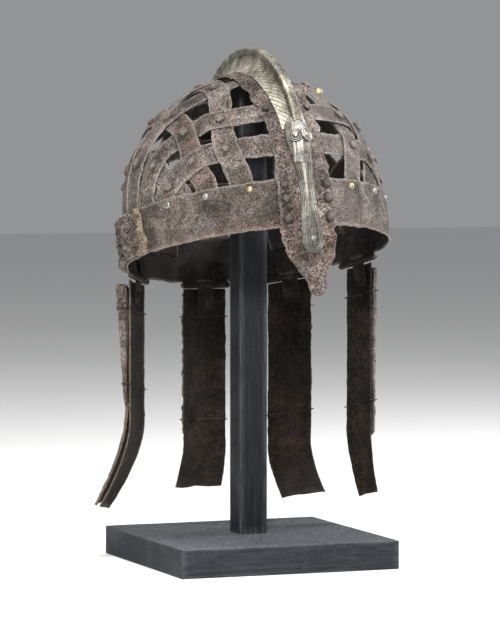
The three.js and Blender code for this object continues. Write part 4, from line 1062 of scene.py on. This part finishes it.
# A tongue of bronze: a fine waist on the band, a round end low on the nasal, and raised lines as a
# cosine of the reach in from its outline, crossed by two ties and crowned by a rib.
def buildNose():
    half = nose["width"] / 2
    headFoot = head["climb"] - climbOver(head["length"] / 2 + nose["headGap"])
    end = np.linspace(0, pi / 2, 30)
    low = -nose["drop"] + half * (1 - np.cos(end))
    rest = np.linspace(low[-1], shell["band"], 120)[1:]
    climb = np.linspace(0, headFoot, 34)[1:]
    line = np.concatenate([wallPoint(0 * low, low), wallPoint(0 * rest, rest), domePoint(0 * climb, climb)])
    climbs = np.concatenate([0 * low, 0 * rest, climb])
    up = np.concatenate([low, rest, shell["band"] + climb * pi / 180 * shell["rise"]])[:, None]
    waist = np.interp(up[:, 0], nose["up"], nose["wide"])
    waist = np.convolve(np.pad(waist, 7, mode="edge"), np.full(15, 1 / 15), mode="valid")
    rounded = np.concatenate([np.maximum(np.sin(end), 0.02), np.ones(len(rest) + len(climb))])
    wide = (rounded * half * waist)[:, None]
    across = wide * np.linspace(-1, 1, 89)
    endCentre = -nose["drop"] + half
    endReach = half - np.sqrt(across**2 + (up - endCentre) ** 2)
    reach = np.where(up < endCentre, endReach, wide - np.abs(across))
    ridge = 0.5 + 0.5 * np.cos(2 * pi * (reach - 0.4) / nose["step"])
    fade = stepBetween(reach, 4.1, 3.5) * stepBetween(reach, 0.0, 0.3)
    ties = sum(hump(up, place, nose["tieWide"]) for place in nose["ties"]) * nose["tieRise"]
    rib = nose["rib"] * hump(across, 0, nose["ribWide"]) * stepBetween(up, 8, 40)
    plain = nose["thick"] * (0.4 + 0.5 * stepBetween(reach, 0, 0.7))
    face = plain + nose["groove"] * ridge * fade + ties + rib
    # Polish on the raised lines and ties, and a painted highlight along the rib.
    polishAndHighlight = np.clip(0.6 * stepBetween(ridge, 0.6, 1) * fade + 0.8 * ties + 1.1 * rib, 0, 1)
    # Painted shade in the grooves between the raised lines.
    cut = 0.85 * stepBetween(ridge, 0.4, 0.05) * fade
    level = strapLevel(climbs) + strap["thick"] + shell["gap"]
    points = onShell(acrossRidge(line[:, None], roundTrip(across, 0.98)), level[:, None] + withUnder(face))
    piece = Piece("noseStrip")
    piece.add(onStand(points), along=withUnder(cut), across=withUnder(reach * 0.3), edge=withUnder(polishAndHighlight))
    spot = wallPoint([0.0], [-nose["drop"] / 2])[0]
    spot[0] = strap["shift"]
    seat = shell["gap"] * 2 + strap["thick"] + nose["thick"]
    piece.add(shellRivet(spot, seat, nose["rivet"], nose["rivetRise"], 77, 0.04), edge=0.6)
    piece.build(noseBronze, root, ["nose_strip"])


buildNose()

print("stage: band rivets")
patch = {
    "from": -124.0, "to": -77.0, "slant": 5.0, "thick": 5.0, "lift": 0.6, "flakes": 5.5,
    "rivetRoom": 3, "mmPerDegree": 1.8, "least": 0.5, "most": 1.3,
}


# Small bright heads a little below the band's top edge, where the strips end behind it, and a
# larger brass head high on the wearer's left, where a strip meets the torn strap.
def buildBandRivets():
    for label, material, slotName in (("brass", brassRivet, "bronze"), ("steel", steelRivet, "steel")):
        piece = Piece(f"bandRivets_{label}")
        for n, turn in enumerate(band["rivetTurns"]):
            for signed in (turn, -turn):
                patched = patch["from"] - patch["rivetRoom"] < signed < patch["to"] + patch["rivetRoom"]
                if patched or (signed in band["brassTurns"]) != (label == "brass"):
                    continue
                spot = wallPoint([signed], [shell["band"] - band["rivetDrop"]])[0]
                shape = (band["rivet"], band["rivetRise"], 700 + n, 0.06, 20, 8)
                piece.add(shellRivet(spot, -shell["sink"], *shape), edge=0.3)
        piece.build(material, root, ["brow_band"])
    piece = Piece("loneRivet")
    shape = (lattice["rivet"] * band["loneWide"], lattice["rivetRise"] * band["loneHigh"], 790, 0.06)
    piece.add(shellRivet(domePoint(*band["lone"]), outerLevel - shell["sink"], *shape), edge=0.3)
    piece.build(brassRivet, root, ["cross_strip_3"])


buildBandRivets()

print("stage: rust patch")


# A crust swollen over the band. Its face rises in noisy steps like rust that splits into leaves, and
# the leaves stand open, pale and ragged, where it ends in front.
def buildPatch():
    across, depth, edge = barSection((shell["band"] - 2 * patch["lift"]) / 2, 2.0, 52)
    share = np.linspace(0, 1, 150)[:, None]
    level = across / (shell["band"] / 2)
    ends = patch["slant"] / 2 * level + 1.2 * roughNoise(grid3(across, 0.0, 0.0), 7.0, 4, 80)
    span = patch["to"] - patch["from"]
    turn = patch["from"] + (span - ends) * share
    base = wallPoint(turn, 0 * turn)
    rag = roughNoise(base, 9.0, 3, 81) * 1.2
    p = grid3(base[..., 0], base[..., 1], shell["band"] / 2 + across * (1 + rag / 22))
    front = (1 - share) * span * patch["mmPerDegree"]
    back = share * span * patch["mmPerDegree"]
    swell = patch["thick"] * (0.72 + 0.18 * np.sin(pi * share) + 0.3 * roughNoise(p, 11.0, 3, 83))
    flakes = patch["flakes"] * (0.6 + 0.4 * roughNoise(p, 3.0, 3, 84))
    leafy = stepBetween(front, 7.0, 1.5)
    leaves = 0.75 + 0.25 * np.sign(np.sin(front * 3.4 + 2.5 * roughNoise(p, 6.0, 2, 86)))
    crust = swell * (1 - leafy) + flakes * leafy * leaves
    face = crust * stepBetween(back, -0.5, 5.0) + 1.5 * roughNoise(p, 3.2, 4, 85)
    face = np.clip(face, patch["least"], patch["thick"] + patch["most"])
    points = onShell(p, shell["gap"] + face * (depth + 1) / 2)
    pale = stepBetween(front, 6.5 + 2.5 * roughNoise(p, 5.0, 2, 88), 2.5)
    piece = Piece("rustPatchCrust")
    rusty = 0.6 * stepBetween(front, 16, 5)
    piece.add(onStand(points), across=rusty, edge=np.clip(pale + 0.25 * edge, 0, 1))
    piece.build(flakyIron, root, ["rust_patch"])


buildPatch()

print("stage: neck plates")
plates = {
    "width": 36.0, "thick": 1.3, "bow": 3.0, "flare": 27.0, "longest": 180.0,
    "sheetThick": 1.6, "standoff": 2.2, "sheetTop": 8.0,
    "wire": 0.42, "wireGap": 0.35, "upperTie": 25.0, "underside": 30.0, "cell": 3.6,
}
# Each plate's shares of those sizes; flare and sway are how far its foot bends out and sideways.
plateLooks = {
    "right": {"length": 0.98, "width": 1.0, "foot": 0.6, "flare": 1.0, "sway": 0.0, "flareLength": 0.37,
              "sheet": 0.58, "tie": 0.47, "crust": 5.5, "sheetTop": 6.6},
    "back_right": {"length": 0.9, "width": 1.04, "foot": 1.15, "flare": 0.52, "sway": 0.05,
                   "flareLength": 0.22, "sheet": 0.76, "tie": 0.66, "crust": 1.5},
    "back_left": {"length": 0.97, "width": 1.0, "foot": 1.0, "flare": 0.96, "sway": 0.2,
                  "flareLength": 0.25, "sheet": 0.72, "tie": 0.61, "crust": 1.5},
    "left": {"length": 0.99, "width": 0.8, "foot": 0.6, "flare": 0.42, "sway": -0.05, "flareLength": 0.28,
             "sheet": 0.79, "tie": 0.61, "crust": 2.5},
}
sprungLeaf = {"from": 0.56, "to": 0.98, "off": 1.8, "thick": 2.4, "spring": 2.6}
hinge = {
    "knuckle": 2.5, "bore": 1.35, "pinHead": 2.1, "side": 12.5, "middle": 14.0, "gap": 0.4,
    "leaf": 1.2, "leafHeight": 14.0, "slabFrom": 1.6, "tongue": 20.0, "tongueWidth": 13.0, "rivet": 2.4,
    "rivetRise": 1.4, "rivetShares": (0.42, 0.8), "rivetApart": 4,
}
plateTop = hinge["knuckle"] + 2 * shell["gap"]
plateInner = hinge["leaf"] / 2 + shell["gap"] + plates["bow"]
sheetInner = plateInner + plates["thick"] + plates["standoff"]


# The hinge's frames: x along the pin, y outward, z up, from the joint's own place and axis. One
# hangs plumb for the plate, and one stands up the band for the leaves.
def hingeFrames(joint):
    origin = np.array(joint["pos_m"]) * mmPerMetre
    along = unit(np.array(joint["axis"], float))
    upright = unit(np.array([0, 0, 1.0]) - along[2] * along)
    bandUp = unit(helmetUp - (helmetUp @ along) * along)
    hang, leaf = ((origin, np.stack([along, np.cross(up, along), up])) for up in (upright, bandUp))
    return hang, leaf, -along[2] / upright[2]


def placed(points, hingeFrame):
    return points @ hingeFrame[1] + hingeFrame[0]


# A plate's face: across -1..1, depth below the pin; a shallow bow, straight down and then bending
# outward and sideways to the foot as a power of the share beyond.
def platePoint(look, across, depth, offset, lean):
    length = look["length"] * plates["longest"]
    flare = look["flareLength"] * length
    beyond = np.maximum(0, depth - (length - flare)) / flare
    bend = plates["flare"] * beyond**1.6
    half = plates["width"] / 2 * (look["width"] + (look["foot"] - look["width"]) * beyond)
    x = across * half + lean * depth + look["sway"] * bend
    return grid3(x, offset - plates["bow"] * across**2 + look["flare"] * bend, -depth)


# The outer sheet's crust thins evenly from its top to its end.
def sheetThickAt(look, depth):
    top = plates["sheetTop"]
    share = (depth - top) / (look["sheet"] * look["length"] * plates["longest"] - top)
    return plates["sheetThick"] * (look["crust"] + (1 - look["crust"]) * np.clip(share, 0, 1))


# A hanging sheet as rings down its length; ragged moves each column's foot by its own noise, nibbled
# moves the edges, and thickAt gives the thickness at a depth.
def sheetGrid(look, lean, ends, offset, thickAt, narrow, ragged, rough, nibbled, seed):
    top, foot = ends
    across, depth, edge = barSection(plates["width"] / 2 * narrow, 1.0, 34, 3)
    share = np.linspace(0, 1, 190)[:, None]
    column = grid3(across, 0.0, float(seed))
    feet = foot + ragged * roughNoise(column, 9.0, 3, seed)
    tops = top + 0.25 * ragged * roughNoise(column, 7.0, 3, seed + 1)
    down = tops + (feet - tops) * share
    nibble = roughNoise(grid3(0.0, down, np.sign(across) * 40), 7.0, 4, seed + 3)
    wide = (across + np.sign(across) * nibbled * nibble * (np.abs(across) > 8)) / (plates["width"] / 2)
    flat = platePoint(look, wide, down, offset, lean)
    bump = rough * faceNoise(flat, depth, plates["underside"], plates["cell"], 4, seed + 5)
    flat[..., 1] += thickAt(down) * (depth + 0.5) + bump
    return flat, np.clip(edge + stepBetween(share, 0.975, 1.0), 0, 1), share


# A bar with rounded edges up the band or down the plate: its end is square, or narrows as a circle.
def slabGrid(centreX, width, low, high, roundEnd, seed):
    across, depth, edge = barSection(width / 2, hinge["leaf"], 12, 3)
    up = np.linspace(0, 1, 40)[:, None]
    if roundEnd:
        inEnd = np.clip(np.abs(high - low) * (1 - up) / roundEnd, 0, 1)
        narrowing = np.sqrt(np.clip(1 - (1 - inEnd) ** 2, 0.0004, 1))
    else:
        narrowing = 1 - 0.9 * stepBetween(up, 0.985, 1.0)
    p = grid3(centreX + across * narrowing, depth, low + (high - low) * up)
    p[..., 1] += 0.08 * roughNoise(p + seed, 4.0, 2, seed)
    return p, edge


# A tube round the pin's line, from each ring's place and radius.
def tubeGrid(x, radius, sides):
    u = np.linspace(0, 2 * pi, sides, endpoint=False)
    return grid3(x[:, None], radius[:, None] * np.cos(u), radius[:, None] * np.sin(u))


# A knuckle: a rolled tube from one place on the pin to another, its ends drawn in to the bore.
def knuckleGrid(low, high, seed, bevel=0.25):
    bore, radius = hinge["bore"], hinge["knuckle"]
    x = np.concatenate([[low, low], np.linspace(low + bevel, high - bevel, 14), [high, high]])
    r = np.concatenate([[bore, radius - bevel], np.full(14, radius), [radius - bevel, bore]])
    p = tubeGrid(x, r, 26)
    return p * (1 + 0.02 * roughNoise(p + seed, 3.0, 2, seed))[..., None] ** np.array([0, 1, 1])


def hingeRivet(x, z, seed):
    spot = np.array([x, -hinge["leaf"] / 2 + shell["sink"], z])
    return rivetGrid(spot, [0, -1, 0], hinge["rivet"], hinge["rivetRise"], seed, 0.1, 16, 7)


# A wire bent into a closed loop round the plate and its sheet.
def tieGrid(look, lean, depth, faceSteps=40, sideSteps=8):
    clear = plates["wireGap"] + plates["wire"]
    reach = 1 + 2 * clear / (plates["width"] * look["width"])
    inside = plateInner - clear
    outside = sheetInner + sheetThickAt(look, depth) + clear
    v = np.linspace(-1, 1, faceSteps)
    a = np.concatenate([v, np.full(sideSteps, 1.0), v[::-1], np.full(sideSteps, -1.0)]) * reach
    between = np.linspace(inside, outside, sideSteps + 2)[1:-1]
    y = np.concatenate([np.full(faceSteps, inside), between, np.full(faceSteps, outside), between[::-1]])
    line = platePoint(look, a, np.full(len(a), float(depth)), y, lean)
    line[..., 2] += 0.25 * softNoise(line, 6.0, int(depth))
    way = unit(np.roll(line, -1, 0) - np.roll(line, 1, 0))
    side = unit(np.cross(way, [0, 0, 1.0]))
    up = np.cross(side, way)
    u = np.linspace(0, 2 * pi, 10, endpoint=False)[:, None]
    return line[:, None] + plates["wire"] * (np.cos(u) * side[:, None] + np.sin(u) * up[:, None])


# The two band leaves with their knuckles and rivets, and the pin with its two round heads.
def buildBandHinge(name, leaf, seed):
    near = hinge["middle"] / 2 + hinge["gap"]
    far = near + hinge["side"]
    tall = hinge["leafHeight"] + hinge["knuckle"]
    for label, side in (("a", -1), ("b", 1)):
        piece = Piece(f"hingeLeaf_{name}_{label}")
        middle = side * (near + far) / 2
        grid, edge = slabGrid(middle, hinge["side"], hinge["slabFrom"], tall, 0.0, seed)
        piece.add(placed(grid, leaf), edge=edge)
        knuckle = knuckleGrid(middle - hinge["side"] / 2, middle + hinge["side"] / 2, seed)
        piece.add(placed(knuckle, leaf), edge=0.2)
        for k, share in enumerate(hinge["rivetShares"]):
            rivet = hingeRivet(middle + side * (k - 0.5) * hinge["rivetApart"], tall * share, seed + k)
            piece.add(placed(rivet, leaf), edge=0.3)
        piece.build(plateIron, root, [f"hinge_leaf_{name}_{label}"])
    piece = Piece(f"hingePin_{name}")
    whole = far + hinge["gap"]
    past = np.array([1, 0.9, 0.1, 0, 0])
    x = np.concatenate([-whole - past, (whole + past)[::-1]])
    r = np.array([0.3, 0.85, 1, 0.9, 0.5])
    piece.add(placed(tubeGrid(x, np.concatenate([r, r[::-1]]) * hinge["pinHead"], 20), leaf), edge=0.3)
    piece.build(wireIron, root, [f"hinge_pin_{name}"])


# What swings: the tongue on the pin, the plate, its outer sheet and the two wire ties.
def buildPlate(joint):
    body = joint["child"]
    name = body.removeprefix("plate_")
    look = plateLooks[name]
    isRight = name == "right"
    hang, leaf, lean = hingeFrames(joint)
    length = look["length"] * plates["longest"]
    seed = 900 + 37 * len(name)
    buildBandHinge(name, leaf, seed)

    piece = Piece(f"hingeTongue_{name}")
    roundEnd = hinge["tongueWidth"] / 2
    grid, edge = slabGrid(0.0, hinge["tongueWidth"], -hinge["slabFrom"], -hinge["tongue"], roundEnd, seed + 5)
    piece.add(placed(grid, hang), edge=edge)
    piece.add(placed(knuckleGrid(-hinge["middle"] / 2, hinge["middle"] / 2, seed + 6), hang), edge=0.2)
    piece.add(placed(hingeRivet(0, -(hinge["tongue"] - roundEnd), seed + 7), hang), edge=0.3)
    piece.build(plateIron, body, [f"hinge_tongue_{name}"])

    piece = Piece(f"neckPlate_{name}_old")
    ends = (plateTop, length)
    grid, edge, share = sheetGrid(look, lean, ends, plateInner, lambda depth: plates["thick"],
                                  1.0, 0.9, 0.26, 0.35, seed + 11)
    piece.add(placed(grid, hang), across=0.1 + 0.55 * stepBetween(share, 0.55, 0.85), edge=edge)
    if isRight:
        # A second leaf of rust has sprung away from the outer face of the foot.
        ends = (length * sprungLeaf["from"], length * sprungLeaf["to"])
        grid, edge, share = sheetGrid(look, lean, ends, plateInner + sprungLeaf["off"],
                                      lambda depth: sprungLeaf["thick"], 0.97, 4.0, 0.5, 1.0, seed + 15)
        grid[..., 1] += sprungLeaf["spring"] * np.sin(pi * share * 0.8)
        piece.add(placed(grid, hang), edge=np.clip(edge * 1.2 + 0.45, 0, 1))
    piece.build(footIron if isRight else plateIron, body, [f"neck_plate_{name}"])

    piece = Piece(f"outerSheet_{name}_old")
    ends = (look.get("sheetTop", plates["sheetTop"]), look["sheet"] * length * 0.95)
    grid, edge, share = sheetGrid(look, lean, ends, sheetInner, lambda depth: sheetThickAt(look, depth),
                                  0.95, 7.0, 0.55, 1.1, seed + 21)
    piece.add(placed(grid, hang), edge=edge * (0.2 if isRight else 0.6))
    piece.build(crumblyIron, body, [f"outer_sheet_{name}"])

    for label, depth in (("upper", plates["upperTie"]), ("lower", look["tie"] * length)):
        piece = Piece(f"wireTie_{name}_{label}")
        piece.add(placed(tieGrid(look, lean, depth), hang), closed=True)
        piece.build(wireIron, body, [f"wire_tie_{name}_{label}"])


for joint in frame["joints"]:
    buildPlate(joint)

print("stage: studio")
studio = {
    "azimuth": -21.08, "elevation": 3.456, "distance": 3098.9, "shiftX": -0.053, "shiftY": -192.52,
    "lens": 230.4, "floor": 6.0, "floorColour": (0.8, 0.8, 0.79, 1), "floorRough": 0.9,
    "air": (0.86, 0.87, 0.9, 1), "airStrength": 0.34,
}
lights = {
    "key": {"place": (-0.62, -1.5, 1.15), "aim": (0, 0, 0.28), "size": 0.35, "power": 55,
            "colour": (1.0, 0.98, 0.95)},
    "rim": {"place": (1.2, 0.1, 0.9), "aim": (0, 0, 0.3), "size": 0.5, "power": 17,
            "colour": (0.97, 0.98, 1.0)},
    "top": {"place": (-0.1, -0.1, 1.5), "aim": (0, 0, 0.3), "size": 0.4, "power": 20,
            "colour": (1.0, 1.0, 1.0)},
}


# The camera looks back along the line of sight, moved by the shifts right and up in the picture.
def placeCamera():
    a, e = radians(studio["azimuth"]), radians(studio["elevation"])
    toCamera = Vector((sin(a) * cos(e), -cos(a) * cos(e), sin(e)))
    rightWay = Vector((cos(a), sin(a), 0))
    upWay = toCamera.cross(rightWay)
    camera = bpy.data.objects.new("camera", bpy.data.cameras.new("camera"))
    bpy.context.scene.collection.objects.link(camera)
    where = toCamera * studio["distance"] - rightWay * studio["shiftX"] - upWay * studio["shiftY"]
    turn = Matrix((rightWay, upWay, toCamera)).transposed().to_4x4()
    camera.matrix_world = Matrix.Translation(where * metresPerMm) @ turn
    camera.data.sensor_fit = "VERTICAL"
    camera.data.sensor_height = 36
    camera.data.lens = studio["lens"]
    camera.data.clip_end = 50
    bpy.context.scene.camera = camera


def placeLight(name, light):
    data = bpy.data.lights.new(name, "AREA")
    data.shape, data.size, data.energy, data.color = "DISK", light["size"], light["power"], light["colour"]
    lamp = bpy.data.objects.new(name, data)
    bpy.context.scene.collection.objects.link(lamp)
    aim = Vector(light["aim"]) - Vector(light["place"])
    lamp.matrix_world = Matrix.Translation(light["place"]) @ aim.to_track_quat("-Z", "Y").to_matrix().to_4x4()


# A pale floor, an even dim sky and three round lamps.
def buildStudio():
    mesh = bpy.data.meshes.new("floor")
    far = studio["floor"]
    mesh.from_pydata([(-far, -far, 0), (far, -far, 0), (far, far, 0), (-far, far, 0)], [], [(0, 1, 2, 3)])
    floor = bpy.data.objects.new("floor", mesh)
    bpy.context.scene.collection.objects.link(floor)
    material = bpy.data.materials.new("paleFloor")
    material.use_nodes = True
    shader = material.node_tree.nodes["Principled BSDF"]
    shader.inputs["Base Color"].default_value = studio["floorColour"]
    shader.inputs["Roughness"].default_value = studio["floorRough"]
    mesh.materials.append(material)
    world = bpy.data.worlds.new("studioWorld")
    world.use_nodes = True
    sky = world.node_tree.nodes["Background"]
    sky.inputs["Color"].default_value = studio["air"]
    sky.inputs["Strength"].default_value = studio["airStrength"]
    bpy.context.scene.world = world
    for name, light in lights.items():
        placeLight(name, light)
    bpy.context.scene.view_settings.view_transform = "Standard"


placeCamera()
buildStudio()

print("stage: done")
